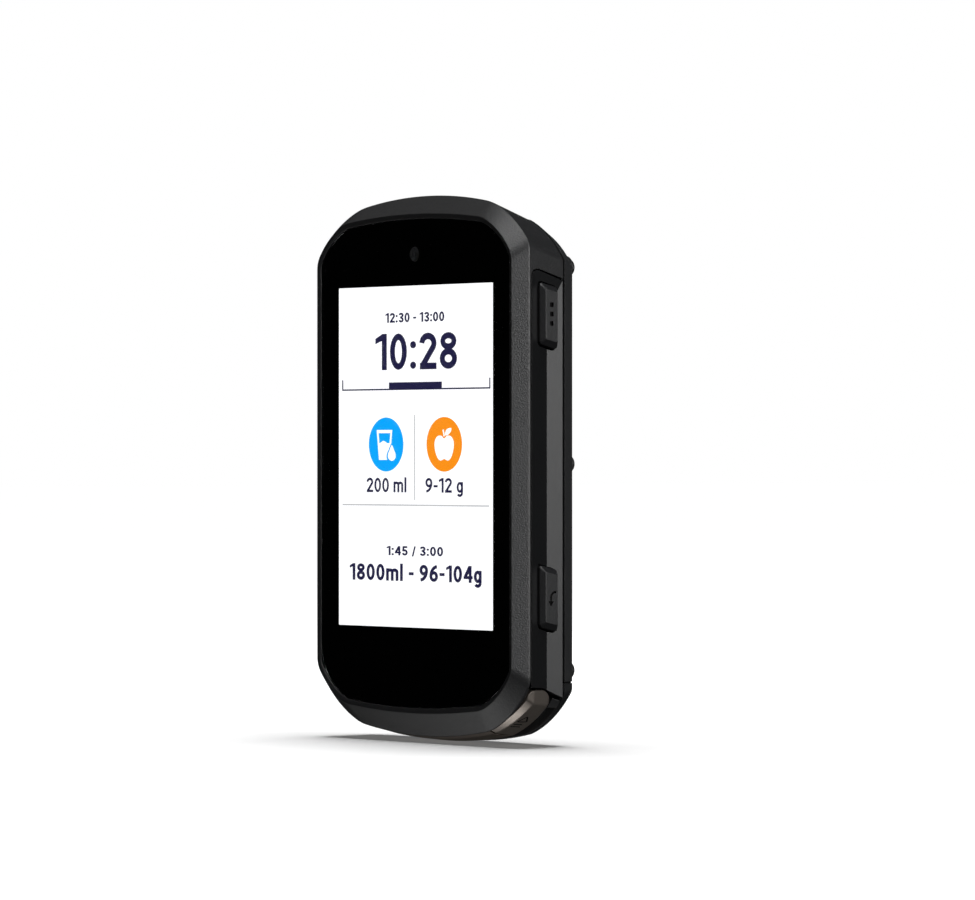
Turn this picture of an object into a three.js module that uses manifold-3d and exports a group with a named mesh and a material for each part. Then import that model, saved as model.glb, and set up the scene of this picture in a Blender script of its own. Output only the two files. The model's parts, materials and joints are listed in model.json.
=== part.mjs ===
// Cycling computer with side buttons, a corner button pair and a quarter-turn mount insert.
//
// Millimetres, Z up. The screen faces -Y, the long axis is Z and the rider's right is +X.
// Every piece is drawn in a design frame whose Y = 0 is the front rim of the bezel and
// whose Z = 0 is the middle of the display. The last group moves that frame so that the
// origin is the middle of the mount insert's rear face.

import * as THREE from 'three';
import { mergeVertices } from 'three/addons/utils/BufferGeometryUtils.js';
import Module from 'manifold-3d';

const wasm = await Module();
wasm.setup();

// ---------------------------------------------------------------- driving dimensions

const DISPLAY = { width: 39.34, height: 56.2 };
const PANEL = { halfWidth: 20.5, halfHeight: 29.7, front: 0.8, back: 3.15 };
const WINDOW = { halfWidth: 20.9, halfHeight: 30.1 };

// Outlines of the body, front to back. A knee is where the long end arc meets the corner
// arc, and side is the height at which the corner arc meets the straight side.
const LIP_INSIDE = {
  half: 24.0, top: 39.05, knee: [17.0, 38.0], side: 32.2,
  bottom: -41.35, lowKnee: [16.9, -40.4], lowSide: -34.4, bulge: 0.85,
};
const LIP = {
  half: 24.75, top: 39.8, knee: [17.4, 38.75], side: 32.4,
  bottom: -42.1, lowKnee: [17.2, -41.1], lowSide: -34.7, bulge: 0.85,
};
const SHOULDER = {
  half: 26.5, top: 42.95, knee: [16.0, 41.5], side: 34.3,
  bottom: -46.0, lowKnee: [16.4, -44.5], lowSide: -36.4, bulge: 1.0,
};
const REAR_SEAM = {
  half: 25.7, top: 40.0, knee: [17.3, 38.6], side: 31.8, bulge: 0.8,
  bottom: -46.9, lowKnee: [15.6, -45.5], lowSide: -38.5, lowBulge: 1.3,
};
const REAR_EDGE = {
  half: 25.2, top: 38.4, knee: [17.0, 37.2], side: 30.9,
  bottom: -47.0, lowKnee: [15.4, -45.4], lowSide: -38.0, bulge: 0.9,
};
const CHASSIS = {
  half: 21.2, top: 36.4, knee: [14.5, 35.6], side: 30.0,
  bottom: -36.2, lowKnee: [19.2, -36.1], lowSide: -34.8, bulge: 0.5,
};
const GASKET = {
  half: 25.2, top: 39.5, knee: [17.1, 38.1], side: 31.6,
  bottom: -36.1, lowKnee: [24.2, -36.0], lowSide: -35.4, bulge: 0.3,
};
const REAR_POCKET = {
  half: 23.7, top: 38.0, knee: [16.6, 36.7], side: 30.9,
  bottom: -34.6, lowKnee: [22.6, -34.5], lowSide: -33.6, bulge: 0.4,
};
const CAP_TUB = {
  half: 21.2, top: -30.0, knee: [15.0, -30.3], side: -32.0,
  bottom: -42.9, lowKnee: [14.0, -41.5], lowSide: -37.4, bulge: 0.3,
};

// Depths of the layers behind the front rim.
const LIP_FALL = 0.25;
const GLASS = { front: 0.3, back: 0.7 };
const ADHESIVE = { front: 0.75, back: 0.85 };
const SHELF = { front: 0.9, back: 3.0 };
const SHOULDER_DEPTH = { side: 2.4, knee: 3.0, end: 3.2, lowKnee: 2.75, lowEnd: 2.85 };
const FRONT_REAR_SEAM = 10.4;
const REAR_FRONT_SEAM = 10.7;
const EDGE_Y = 12.85;
const FACE_Y = 13.4;
const REAR_FLOOR = 12.0;
const FACE_INSET = 1.0;
const SEAM = 0.3;
const SENSOR = { z: 33.25, radius: 1.0 };

// Side bands: a shallow V groove that carries the side buttons.
const BAND = {
  front: 3.0, valley: 7.45, rear: 10.3, inner: 22.4,
  frontX: 26.35, valleyX: 25.0, rearX: 25.65,
  top: 30.0, topRear: 28.45, grooveTop: 23.4, slant: 0.22, cornerRadius: 1.5,
  low: [[3.0, -37.2], [6.3, -37.35], [7.45, -37.7], [10.3, -39.0]],
};
const SIDE_BUTTON = {
  y: 6.85, halfWidth: 1.9, face: 26.9, chamferFrom: 26.1,
  flangeInner: 22.7, flangeOuter: 23.2, flangeMargin: 0.6, pocket: 23.5, clearance: 0.25,
};
const SWITCH = { front: 21.45, body: 21.95, tip: 22.25, halfY: 1.3, halfZ: 2.1 };
const RIGHT_BUTTONS = [
  { name: 'menu_button', z: 22.7, half: 5.0 },
  { name: 'back_button', z: -22.9, half: 5.0 },
];
const LEFT_BUTTONS = [
  { name: 'power_button', z: 22.7, half: 5.0 },
  { name: 'up_button', z: 8.6, half: 4.2 },
  { name: 'down_button', z: -11.0, half: 4.2 },
];

// Corner buttons and the trim between them: rails that run round the bottom.
const TRIM_HALF = 15.3;
const CORNER_START = 15.75;
const RAILS = [
  { y: 3.3, bottom: -45.75, knee: [16.0, -44.3], bend: [24.9, -39.2], end: [25.29, -37.5] },
  { y: 4.6, bottom: -46.5, knee: [16.0, -44.95], bend: [25.05, -39.9], end: [25.34, -37.5] },
  { y: 8.4, bottom: -46.95, knee: [15.9, -45.45], bend: [24.1, -40.3], end: [24.73, -37.5] },
  { y: 9.0, bottom: -46.4, knee: [15.8, -44.95], bend: [23.7, -40.0], end: [24.4, -37.5] },
  { y: 9.0, bottom: -44.3, knee: [15.75, -42.5], bend: [22.7, -38.8], end: [22.7, -37.5] },
  { y: 3.3, bottom: -44.3, knee: [15.75, -42.5], bend: [22.7, -38.8], end: [22.7, -37.5] },
];
// The free end of a corner button, seen from the side: a round front and a longer round rear.
const CORNER_END = { front: 3.2, rear: 9.1, top: -37.68, frontRadius: 1.6, reach: 2.9, drop: 3.2 };
const CORNER_PRESS = new THREE.Vector3(0.493, 0, -0.87);

const CAP = {
  front: 9.3, top: -36.75, floor: 10.9, step: 1.6, stepRear: 10.3,
  shoulder: [[9.0, -38.95], [10.6, -39.7]], facet: { front: 9.2, inset: 0.75, low: -40.65 },
};
const PORT = { z: -39.5, recessHalf: 9.6, recessHeight: 5.2, recessFloor: 12.1 };
const USB = { width: 9.0, height: 3.2, wall: 0.3, front: 6.4, mouth: 12.0, backWall: 0.6 };

const INSERT = {
  base: 13.5, tabFront: 14.9, face: 16.5, neck: 12.0, radius: 12.8,
  tabRadius: 15.6, tabAngle: 22, screwCircle: 9.3, z: -2.0,
};
const CASE_SCREW = { x: 23.2, heights: [30.7, -1.2, -34.7], head: 1.4, top: 14.2, tip: 5.7 };
const SHANK = 0.7;
const SHANK_HOLE = 0.85;
const POST_RADIUS = 1.7;
const STANDOFFS = [[-16.5, 26], [16.5, 26], [-16.5, -30.5], [16.5, -30.5]];
const BOARD_LAYER = { front: 5.9, back: 6.7 };
const SPEAKER = { x: 8.2, z: -31.2, halfWidth: 5.4, halfHeight: 3.4 };
const VENT = { x: 12, z: 23 };
const LANYARD = { x: -16, z: -41.6, y: 12.5 };
const BEYOND = 40; // reaches past the body on every side

// ---------------------------------------------------------------- materials

const finish = (color, roughness, metalness = 0) => (
  new THREE.MeshStandardMaterial({ color, roughness, metalness })
);
const SHELL = finish(0x202123, 0.62);
const DARK_SHELL = finish(0x17181a, 0.5);
const BAND_FINISH = finish(0x1d1e20, 0.38);
const BUTTON_FINISH = finish(0x242527, 0.55);
const BRONZE = finish(0x4b423c, 0.42, 0.45);
const LENS = finish(0x040405, 0.06);
const SCREEN = finish(0xf4f5f7, 0.5);
const RUBBER = finish(0x111112, 0.85);
const FOAM = finish(0x2a2a2c, 0.95);
const STEEL = finish(0xa9adb2, 0.35, 0.9);
const BLACK_SCREW = finish(0x1b1b1d, 0.4, 0.7);
const BOARD = finish(0x12402c, 0.6);
const AMBER_FILM = finish(0xa0642a, 0.55);
const CERAMIC = finish(0xd8cfbe, 0.7);
const CELL = finish(0x6f747b, 0.45, 0.3);

// ---------------------------------------------------------------- solids

function solidFrom(geometry) {
  const bare = geometry.clone();
  for (const name of ['normal', 'uv']) {
    if (bare.attributes[name]) bare.deleteAttribute(name);
  }
  const merged = mergeVertices(bare, 1e-5);
  return new wasm.Manifold(new wasm.Mesh({
    numProp: 3,
    vertProperties: Float32Array.from(merged.attributes.position.array),
    triVerts: Uint32Array.from(merged.index.array),
  }));
}

function geometryFrom(solid) {
  const mesh = solid.getMesh();
  const geometry = new THREE.BufferGeometry();
  geometry.setAttribute('position', new THREE.BufferAttribute(mesh.vertProperties, 3));
  geometry.setIndex(new THREE.BufferAttribute(mesh.triVerts, 1));
  return geometry;
}

// The two coordinates that flatten a closed loop best, from its Newell normal.
function flatten(loop) {
  const normal = new THREE.Vector3();
  loop.forEach((p, i) => normal.add(p.clone().cross(loop[(i + 1) % loop.length])));
  const [x, y, z] = normal.toArray().map(Math.abs);
  if (x > y && x > z) return loop.map((p) => new THREE.Vector2(p.y, p.z));
  if (y > z) return loop.map((p) => new THREE.Vector2(p.x, p.z));
  return loop.map((p) => new THREE.Vector2(p.x, p.y));
}

function capTriangles(loop, first, forward) {
  const flat = flatten(loop);
  const turnsLeft = THREE.ShapeUtils.area(flat) > 0;
  return THREE.ShapeUtils.triangulateShape(flat, []).flatMap(([a, b, c]) => {
    const left = THREE.ShapeUtils.area([flat[a], flat[b], flat[c]]) > 0;
    const order = (left === turnsLeft) === forward ? [a, b, c] : [a, c, b];
    return order.map((index) => first + index);
  });
}

function signedVolume(points, triangles) {
  let sum = 0;
  for (let i = 0; i < triangles.length; i += 3) {
    const [a, b, c] = triangles.slice(i, i + 3).map((index) => points[index]);
    sum += a.dot(b.clone().cross(c));
  }
  return sum;
}

// A closed solid skinned over loops with equal point counts.
function loft(loops) {
  const count = loops[0].length;
  const points = loops.flat();
  let triangles = capTriangles(loops[0], 0, false);
  for (let start = 0; start < points.length - count; start += count) {
    for (let i = 0; i < count; i += 1) {
      const a = start + i;
      const b = start + ((i + 1) % count);
      triangles.push(a, b, b + count, a, b + count, a + count);
    }
  }
  triangles.push(...capTriangles(loops.at(-1), points.length - count, true));
  if (signedVolume(points, triangles) < 0) triangles = triangles.reverse();
  const geometry = new THREE.BufferGeometry().setFromPoints(points);
  geometry.setIndex(triangles);
  return solidFrom(geometry);
}

function block(x, y, z) {
  const geometry = new THREE.BoxGeometry(x[1] - x[0], y[1] - y[0], z[1] - z[0]);
  geometry.translate((x[0] + x[1]) / 2, (y[0] + y[1]) / 2, (z[0] + z[1]) / 2);
  return solidFrom(geometry);
}

// A round bar along Y.
function bar(x, z, radius, y, sides = 12) {
  const geometry = new THREE.CylinderGeometry(radius, radius, y[1] - y[0], sides);
  geometry.translate(x, (y[0] + y[1]) / 2, z);
  return solidFrom(geometry);
}

// A turned piece about an axis along Y; the profile is [radius, y] from axis to axis.
function turned(profile, x = 0, z = 0, sides = 14) {
  const points = profile.map(([radius, y]) => new THREE.Vector2(radius, y));
  return solidFrom(new THREE.LatheGeometry(points, sides).translate(x, 0, z));
}

function roundedRectangle(halfWidth, halfHeight, radius) {
  const shape = new THREE.Shape();
  const x = halfWidth - radius;
  const y = halfHeight - radius;
  shape.absarc(x, y, radius, 0, Math.PI / 2);
  shape.absarc(-x, y, radius, Math.PI / 2, Math.PI);
  shape.absarc(-x, -y, radius, Math.PI, 1.5 * Math.PI);
  shape.absarc(x, -y, radius, 1.5 * Math.PI, 2 * Math.PI);
  return shape;
}

// A plate that lies in XZ, drawn from a shape and thick along Y.
function plate(shape, y, x = 0, z = 0, curveSegments = 4) {
  const options = { depth: y[1] - y[0], bevelEnabled: false, curveSegments };
  const geometry = new THREE.ExtrudeGeometry(shape, options);
  geometry.rotateX(Math.PI / 2).translate(x, y[1], z);
  return solidFrom(geometry);
}

// A slab drawn by a shape in (Y, Z) and thick along X.
function sideSlab(shape, x, curveSegments = 4) {
  const options = { depth: x[1] - x[0], bevelEnabled: false, curveSegments };
  const geometry = new THREE.ExtrudeGeometry(shape, options);
  const [alongX, alongY, alongZ] = [[1, 0, 0], [0, 1, 0], [0, 0, 1]]
    .map((axis) => new THREE.Vector3(...axis));
  geometry.applyMatrix4(new THREE.Matrix4().makeBasis(alongY, alongZ, alongX));
  return solidFrom(geometry.translate(x[0], 0, 0));
}

const join = (solids) => solids.reduce((sum, solid) => sum.add(solid));
const cut = (solid, tools) => tools.reduce((rest, tool) => rest.subtract(tool), solid);
const mirrored = (solid) => solid.mirror([1, 0, 0]);

// ---------------------------------------------------------------- body outlines

// Points of the arc from p up to (not including) q that stands out by bulge on its left.
function arc(p, q, bulge, steps) {
  const chord = Math.hypot(q[0] - p[0], q[1] - p[1]);
  const radius = (chord * chord / 4 + bulge * bulge) / (2 * bulge);
  const left = [-(q[1] - p[1]) / chord, (q[0] - p[0]) / chord];
  const centre = [0, 1].map((k) => (p[k] + q[k]) / 2 + left[k] * (bulge - radius));
  const start = Math.atan2(p[1] - centre[1], p[0] - centre[0]);
  const sweep = 2 * Math.asin(chord / 2 / radius);
  const reach = Math.abs(radius);
  return Array.from({ length: steps }, (_, i) => {
    const angle = start - sweep * i / steps;
    return [centre[0] + reach * Math.cos(angle), centre[1] + reach * Math.sin(angle)];
  });
}

const END_STEPS = 4;
const CORNER_STEPS = 5;

// Height above the knee of the arc through the end's middle and both knees.
function endHeight(middle, knee, x) {
  const rise = middle - knee[1];
  const radius = (knee[0] ** 2 + rise ** 2) / (2 * rise);
  return middle - radius + Math.sign(radius) * Math.sqrt(radius ** 2 - x ** 2);
}

// One closed outline. depth gives Y at the side and at the top and bottom knees and ends.
function outline(spec, depth) {
  const at = typeof depth === 'number'
    ? { side: depth, knee: depth, end: depth, lowKnee: depth, lowEnd: depth } : depth;
  const half = [];
  const add = (points, from, to) => points.forEach(([x, z], i) => {
    half.push(new THREE.Vector3(x, from + (to - from) * i / points.length, z));
  });
  const ends = Array.from({ length: END_STEPS }, (_, i) => spec.knee[0] * i / END_STEPS);
  const lows = Array.from({ length: END_STEPS + 1 }, (_, i) => (
    spec.lowKnee[0] * (1 - i / END_STEPS)));
  const topArc = ends.map((x) => [x, endHeight(spec.top, spec.knee, x)]);
  const lowArc = lows.map((x) => [x, endHeight(spec.bottom, spec.lowKnee, x)]);
  add(topArc, at.end, at.knee);
  add(arc(spec.knee, [spec.half, spec.side], spec.bulge, CORNER_STEPS), at.knee, at.side);
  add([[spec.half, spec.side]], at.side, at.side);
  const lowBulge = spec.lowBulge ?? spec.bulge;
  add(arc([spec.half, spec.lowSide], spec.lowKnee, lowBulge, CORNER_STEPS),
    at.side, at.lowKnee);
  lowArc.forEach(([x, z], i) => {
    const share = i / END_STEPS;
    half.push(new THREE.Vector3(x, at.lowKnee + (at.lowEnd - at.lowKnee) * share, z));
  });
  const otherHalf = half.slice(1, -1).reverse().map((p) => new THREE.Vector3(-p.x, p.y, p.z));
  return [...half, ...otherHalf];
}

// The outline moved inwards by distance.
function inset(spec, distance) {
  const toKnee = ([x, z]) => [x - 0.35 * distance, z - Math.sign(z) * 0.95 * distance];
  return {
    ...spec,
    half: spec.half - distance,
    top: spec.top - distance,
    bottom: spec.bottom + distance,
    knee: toKnee(spec.knee),
    lowKnee: toKnee(spec.lowKnee),
    side: spec.side - 0.45 * distance,
    lowSide: spec.lowSide + 0.45 * distance,
  };
}

const straight = (spec, y) => loft([outline(spec, y[0]), outline(spec, y[1])]);

// ---------------------------------------------------------------- front housing and display

function frontHousing() {
  const outside = loft([
    outline(LIP_INSIDE, LIP_FALL),
    outline(LIP, 0),
    outline(SHOULDER, SHOULDER_DEPTH),
    outline(REAR_SEAM, FRONT_REAR_SEAM),
  ]);
  const hollow = loft([
    outline(inset(SHOULDER, 1.8), SHELF.back),
    outline(inset(REAR_SEAM, 1.5), FRONT_REAR_SEAM + 1),
  ]);
  const posts = [-1, 1].map((side) => (
    bar(side * CASE_SCREW.x, CASE_SCREW.heights[0], POST_RADIUS, [2.5, FRONT_REAR_SEAM])));
  const holes = [-1, 1].map((side) => bar(side * CASE_SCREW.x, CASE_SCREW.heights[0],
    SHANK_HOLE, [CASE_SCREW.tip - SEAM, FACE_Y]));
  const glassPocket = straight(LIP_INSIDE, [-1, SHELF.front]);
  const window = block([-WINDOW.halfWidth, WINDOW.halfWidth], [-1, 5],
    [-WINDOW.halfHeight, WINDOW.halfHeight]);
  const lowNotch = block([-BEYOND, BEYOND], [SHELF.back, BEYOND], [-BEYOND - 20, -30]);
  const sensorHole = bar(0, SENSOR.z, SENSOR.radius + 0.2, [0.5, 4]);
  const hoodAndBezel = outside.subtract(hollow).add(join(posts));
  return cut(hoodAndBezel, [
    glassPocket, window, lowNotch, sensorHole, bandNotch(), mirrored(bandNotch()), ...holes,
  ]);
}

function coverGlass() {
  return straight(inset(LIP_INSIDE, 0.12), [GLASS.front, GLASS.back]);
}

function lensAdhesive() {
  const margin = 0.2;
  const sheet = straight(inset(LIP_INSIDE, 0.5), [ADHESIVE.front, ADHESIVE.back]);
  const opening = block([-WINDOW.halfWidth - margin, WINDOW.halfWidth + margin], [0, 3],
    [-WINDOW.halfHeight - margin, WINDOW.halfHeight + margin]);
  return cut(sheet, [opening, bar(0, SENSOR.z, SENSOR.radius + 2 * margin, [0, 3])]);
}

function lightSensor() {
  return bar(0, SENSOR.z, SENSOR.radius, [SHELF.front + 0.05, SHELF.back - 0.1]);
}

function displayPanel() {
  const { halfWidth, halfHeight, front, back } = PANEL;
  const body = block([-halfWidth, halfWidth], [front, back], [-halfHeight, halfHeight]);
  const border = block([-halfWidth - 1, halfWidth + 1], [front - 1, front + 0.1],
    [-halfHeight - 1, halfHeight + 1]);
  const active = block([-DISPLAY.width / 2, DISPLAY.width / 2], [front - 2, front + 1],
    [-DISPLAY.height / 2, DISPLAY.height / 2]);
  return body.subtract(border.subtract(active));
}

function displayTray() {
  const tray = block([-21, 21], [3.25, 4.1], [-30.3, 30.3]);
  return tray.subtract(block([-20.2, 20.2], [3, 3.75], [-29.5, 29.5]));
}

function displayFlex() {
  const run = block([-6, 6], [4.13, 4.25], [-32.1, -24]);
  return run.add(block([-6, 6], [4.13, 5.8], [-32.1, -31.95]));
}

// ---------------------------------------------------------------- side bands and buttons

// The band's outline seen from the side, with a round front upper corner.
function bandShape(margin) {
  const front = BAND.front - margin;
  const rear = BAND.rear + margin;
  const top = BAND.top + margin;
  const radius = BAND.cornerRadius + margin;
  const [, ...bends] = BAND.low.slice(0, -1);
  const lowRear = BAND.low.at(-1)[1] - margin;
  const shape = new THREE.Shape();
  shape.moveTo(front, BAND.low[0][1] - margin);
  for (const [y, z] of bends) shape.lineTo(y, z - margin);
  shape.lineTo(rear, lowRear);
  shape.lineTo(rear, BAND.topRear + margin);
  shape.lineTo(front + radius, top);
  shape.quadraticCurveTo(front, top + 0.1, front, top - radius);
  return shape;
}

function bandNotch() {
  const shape = bandShape(SEAM - 0.05);
  const toRear = block([BAND.inner - 0.9, BEYOND], [BAND.rear, BEYOND],
    [BAND.low.at(-1)[1] - 1, BAND.topRear + SEAM - 0.05]);
  return sideSlab(shape, [BAND.inner - 0.9, BEYOND]).add(toRear);
}

// The V groove: a wedge with one slanted facet for its upper end.
function grooveWedge() {
  const { frontX, front, valleyX, valley, rearX, rear, top, topRear, grooveTop } = BAND;
  const corner = new THREE.Vector3(valleyX, valley, grooveTop);
  const [frontLip, rearLip] = [[frontX, front, top], [rearX, rear, topRear]].map((lip) => (
    new THREE.Vector3(...lip).sub(corner).multiplyScalar(1.3).add(corner)));
  const upper = [frontLip, corner, rearLip];
  return loft([upper, upper.map(({ x, y }) => new THREE.Vector3(x, y, -BEYOND - 10))]);
}

function sideBand(buttons) {
  const { frontX, front, rearX, rear, inner } = BAND;
  const section = [[frontX, front], [rearX, rear], [inner, rear], [inner, front]];
  const plain = loft([BEYOND, -BEYOND - 10].map((z) => (
    section.map(([x, y]) => new THREE.Vector3(x, y, z)))));
  const body = plain.intersect(sideSlab(bandShape(0), [inner - 1, BEYOND]));
  const slots = buttons.flatMap(({ z, half }) => [
    buttonPrism(z, half, SIDE_BUTTON.clearance, [20, 30]),
    buttonPrism(z, half, SIDE_BUTTON.flangeMargin + 0.3, [20, SIDE_BUTTON.pocket]),
  ]);
  const holes = CASE_SCREW.heights.slice(1).map((z) => (
    bar(CASE_SCREW.x, z, SHANK_HOLE, [CASE_SCREW.tip - SEAM, FACE_Y])));
  return cut(body, [grooveWedge(), ...slots, ...holes]);
}

function buttonOutline(z, half, margin, x) {
  const { y, halfWidth } = SIDE_BUTTON;
  const shape = roundedRectangle(halfWidth + margin, half + margin, 0.6 + margin * 0.5);
  return shape.getPoints(3).slice(0, -1).map((p) => (
    new THREE.Vector3(x, y + p.x, z + p.y - BAND.slant * p.x)));
}

function buttonPrism(z, half, margin, x) {
  return loft(x.map((value) => buttonOutline(z, half, margin, value)));
}

function sideButton({ z, half }) {
  const { y, halfWidth, face, chamferFrom, flangeInner, flangeOuter, flangeMargin } = SIDE_BUTTON;
  const top = buttonOutline(z, half, 0, face).map((p) => new THREE.Vector3(
    face,
    y + (p.y - y) * (halfWidth - 0.55) / halfWidth,
    z + (p.z - z) * (half - 0.9) / half,
  ));
  return loft([
    buttonOutline(z, half, flangeMargin, flangeInner),
    buttonOutline(z, half, flangeMargin, flangeOuter),
    buttonOutline(z, half, 0, flangeOuter),
    buttonOutline(z, half, 0, chamferFrom),
    top,
  ]);
}

function sideSwitch({ z }) {
  const { y } = SIDE_BUTTON;
  const body = block([SWITCH.front, SWITCH.body], [y - SWITCH.halfY, y + SWITCH.halfY],
    [z - SWITCH.halfZ, z + SWITCH.halfZ]);
  const plunger = block([SWITCH.body - 0.2, SWITCH.tip], [y - 0.6, y + 0.6], [z - 0.9, z + 0.9]);
  return body.add(plunger);
}

function switchFlex() {
  return block([21.25, 21.4], [5.4, 8.3], [-30, 30]);
}

// ---------------------------------------------------------------- bottom trim and corner buttons

function bottomTrim() {
  const steps = 8;
  const sections = Array.from({ length: steps + 1 }, (_, i) => {
    const x = TRIM_HALF * (2 * i / steps - 1);
    return RAILS.map(({ y, bottom, knee }) => (
      new THREE.Vector3(x, y, endHeight(bottom, knee, x))));
  });
  return loft(sections);
}

function cornerButton() {
  const bulge = 0.5;
  const rails = RAILS.map(({ y, knee, bend, end }) => {
    const startZ = knee[1];
    const curve = arc([CORNER_START, startZ], bend, -bulge, CORNER_STEPS);
    return [...curve, bend, end].map(([x, z]) => new THREE.Vector3(x, y, z));
  });
  const key = loft(rails[0].map((_, i) => rails.map((rail) => rail[i])));
  return key.intersect(sideSlab(cornerEndShape(), [0, BEYOND], 5));
}

function cornerEndShape() {
  const { front, rear, top, frontRadius, reach, drop } = CORNER_END;
  const shape = new THREE.Shape();
  shape.moveTo(front, -BEYOND - 20);
  shape.absellipse(front + frontRadius, top - frontRadius, frontRadius, frontRadius,
    Math.PI, Math.PI / 2, true);
  shape.absellipse(rear - reach, top - drop, reach, drop, Math.PI / 2, 0, true);
  shape.lineTo(rear, -BEYOND - 20);
  return shape;
}

function cornerSwitch() {
  const body = new THREE.BoxGeometry(4.2, 2.6, 0.5).translate(0, 0, 0.25);
  const plunger = new THREE.BoxGeometry(1.8, 1.2, 0.5).translate(0, 0, 0.55);
  const turn = new THREE.Quaternion()
    .setFromUnitVectors(new THREE.Vector3(0, 0, 1), CORNER_PRESS.clone().normalize());
  const place = (geometry) => solidFrom(geometry.applyQuaternion(turn)
    .translate(17.6 + 0.4 * CORNER_PRESS.x, 6.2, -39.45 + 0.4 * CORNER_PRESS.z));
  return place(body).add(place(plunger));
}

// ---------------------------------------------------------------- rear housing and bottom cap

function rearBody(from) {
  return loft([
    outline(REAR_SEAM, from),
    outline(REAR_EDGE, EDGE_Y),
    outline(inset(REAR_EDGE, FACE_INSET), FACE_Y),
  ]);
}

function caseScrewPlaces() {
  return [-1, 1].flatMap((side) => CASE_SCREW.heights.map((z) => [side * CASE_SCREW.x, z]));
}

function insertScrewPlaces() {
  return [45, 135, 225, 315].map((degrees) => {
    const angle = THREE.MathUtils.degToRad(degrees);
    const { screwCircle, z } = INSERT;
    return [screwCircle * Math.cos(angle), z + screwCircle * Math.sin(angle)];
  });
}

function speakerSlots() {
  return [-1.5, -0.5, 0.5, 1.5].map((step) => (
    plate(roundedRectangle(0.5, 2.6, 0.45), [10, 15], SPEAKER.x + step * 2.4, SPEAKER.z)));
}

function rearHousing() {
  const pocket = straight(REAR_POCKET, [REAR_FRONT_SEAM - 1, REAR_FLOOR]);
  const bosses = caseScrewPlaces().map(([x, z]) => bar(x, z, 1.9, [REAR_FRONT_SEAM, 13]));
  const below = block([-BEYOND, BEYOND], [0, BEYOND], [-BEYOND - 20, CAP.top + SEAM]);
  const holes = caseScrewPlaces().map(([x, z]) => bar(x, z, SHANK_HOLE, [5, 20]));
  const insertHoles = insertScrewPlaces().map(([x, z]) => bar(x, z, SHANK_HOLE, [5, 20]));
  const vent = bar(VENT.x, VENT.z, 0.6, [5, 20], 12);
  const tray = rearBody(REAR_FRONT_SEAM).subtract(pocket).add(join(bosses));
  return cut(tray, [below, ...holes, ...insertHoles, vent, ...speakerSlots()]);
}

// Two short facets of the cap that close the side grooves behind the corner buttons.
function cornerFacets() {
  const { front, inset: depth, low } = CAP.facet;
  const slope = loft([outline(inset(REAR_SEAM, depth), front), outline(REAR_SEAM, CAP.stepRear + 0.1)]);
  const ends = [-1, 1].map((side) => block(
    [side * 21, side * BEYOND].sort((a, b) => a - b), [0, BEYOND], [low, CAP.top]));
  return slope.intersect(join(ends));
}

function bottomCap() {
  const stepped = straight(inset(REAR_SEAM, CAP.step), [CAP.front, CAP.stepRear + 0.1]);
  const outside = rearBody(CAP.stepRear).add(stepped).add(cornerFacets());
  const [shoulderFront, shoulderRear] = CAP.shoulder;
  const aboveShoulder = new THREE.Shape([
    [0, BEYOND], [0, shoulderFront[1]], shoulderFront, shoulderRear, [shoulderRear[0], BEYOND],
  ].map(([y, z]) => new THREE.Vector2(y, z)));
  const shoulderNotch = sideSlab(aboveShoulder, [-BEYOND, BEYOND]);
  const tub = straight(CAP_TUB, [3.6, CAP.front + 0.5]);
  const hollow = straight(inset(CAP_TUB, 1.0), [3, CAP.floor]);
  const above = block([-BEYOND, BEYOND], [0, BEYOND], [CAP.top, BEYOND]);
  const recess = plate(roundedRectangle(PORT.recessHalf, PORT.recessHeight / 2, 1.2),
    [PORT.recessFloor, 15], 0, PORT.z);
  const mouth = plate(roundedRectangle(USB.width / 2 + 0.3, USB.height / 2 + 0.3, 1.7),
    [8, 15], 0, PORT.z);
  const lanyardNotch = block([LANYARD.x - 2.4, LANYARD.x + 2.4], [11.3, 15],
    [LANYARD.z - 1.0, LANYARD.z + 1.0]);
  const pinHole = lanyardPin(0.65, 2.1);
  const shell = outside.subtract(shoulderNotch).add(tub);
  return cut(shell, [hollow, above, recess, mouth, lanyardNotch, pinHole]);
}

function lanyardPin(radius, half) {
  const geometry = new THREE.CylinderGeometry(radius, radius, 2 * half, 12);
  geometry.rotateX(Math.PI / 2).translate(LANYARD.x, LANYARD.y, LANYARD.z);
  return solidFrom(geometry);
}

// The cover swings on its outer left edge, so its hinge line is at (-half, FACE_Y).
function portCover() {
  const margin = 0.25;
  const half = PORT.recessHalf - margin;
  const cover = plate(roundedRectangle(half, PORT.recessHeight / 2 - margin, 1.0),
    [PORT.recessFloor + margin, FACE_Y], 0, PORT.z);
  const pad = plate(roundedRectangle(3.7, 0.85, 0.8), [11.5, 12.6], 0, PORT.z);
  return cover.add(pad);
}

function usbReceptacle() {
  const { width, height, wall, front, mouth, backWall } = USB;
  const tube = plate(roundedRectangle(width / 2, height / 2, 1.5), [front, mouth], 0, PORT.z);
  const inside = plate(roundedRectangle(width / 2 - wall, height / 2 - wall, 1.2),
    [front + backWall, mouth + 1], 0, PORT.z);
  const tongue = plate(roundedRectangle(3.3, 0.35, 0.3), [front + 0.3, mouth - 1.0], 0, PORT.z);
  return tube.subtract(inside).add(tongue);
}

function mainGasket() {
  const ring = straight(GASKET, [10.45, 10.6]);
  const holes = caseScrewPlaces().map(([x, z]) => bar(x, z, SHANK_HOLE, [10, 11]));
  return cut(ring, [straight(inset(GASKET, 1.0), [10, 11]), ...holes]);
}

// ---------------------------------------------------------------- inside the body

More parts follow.
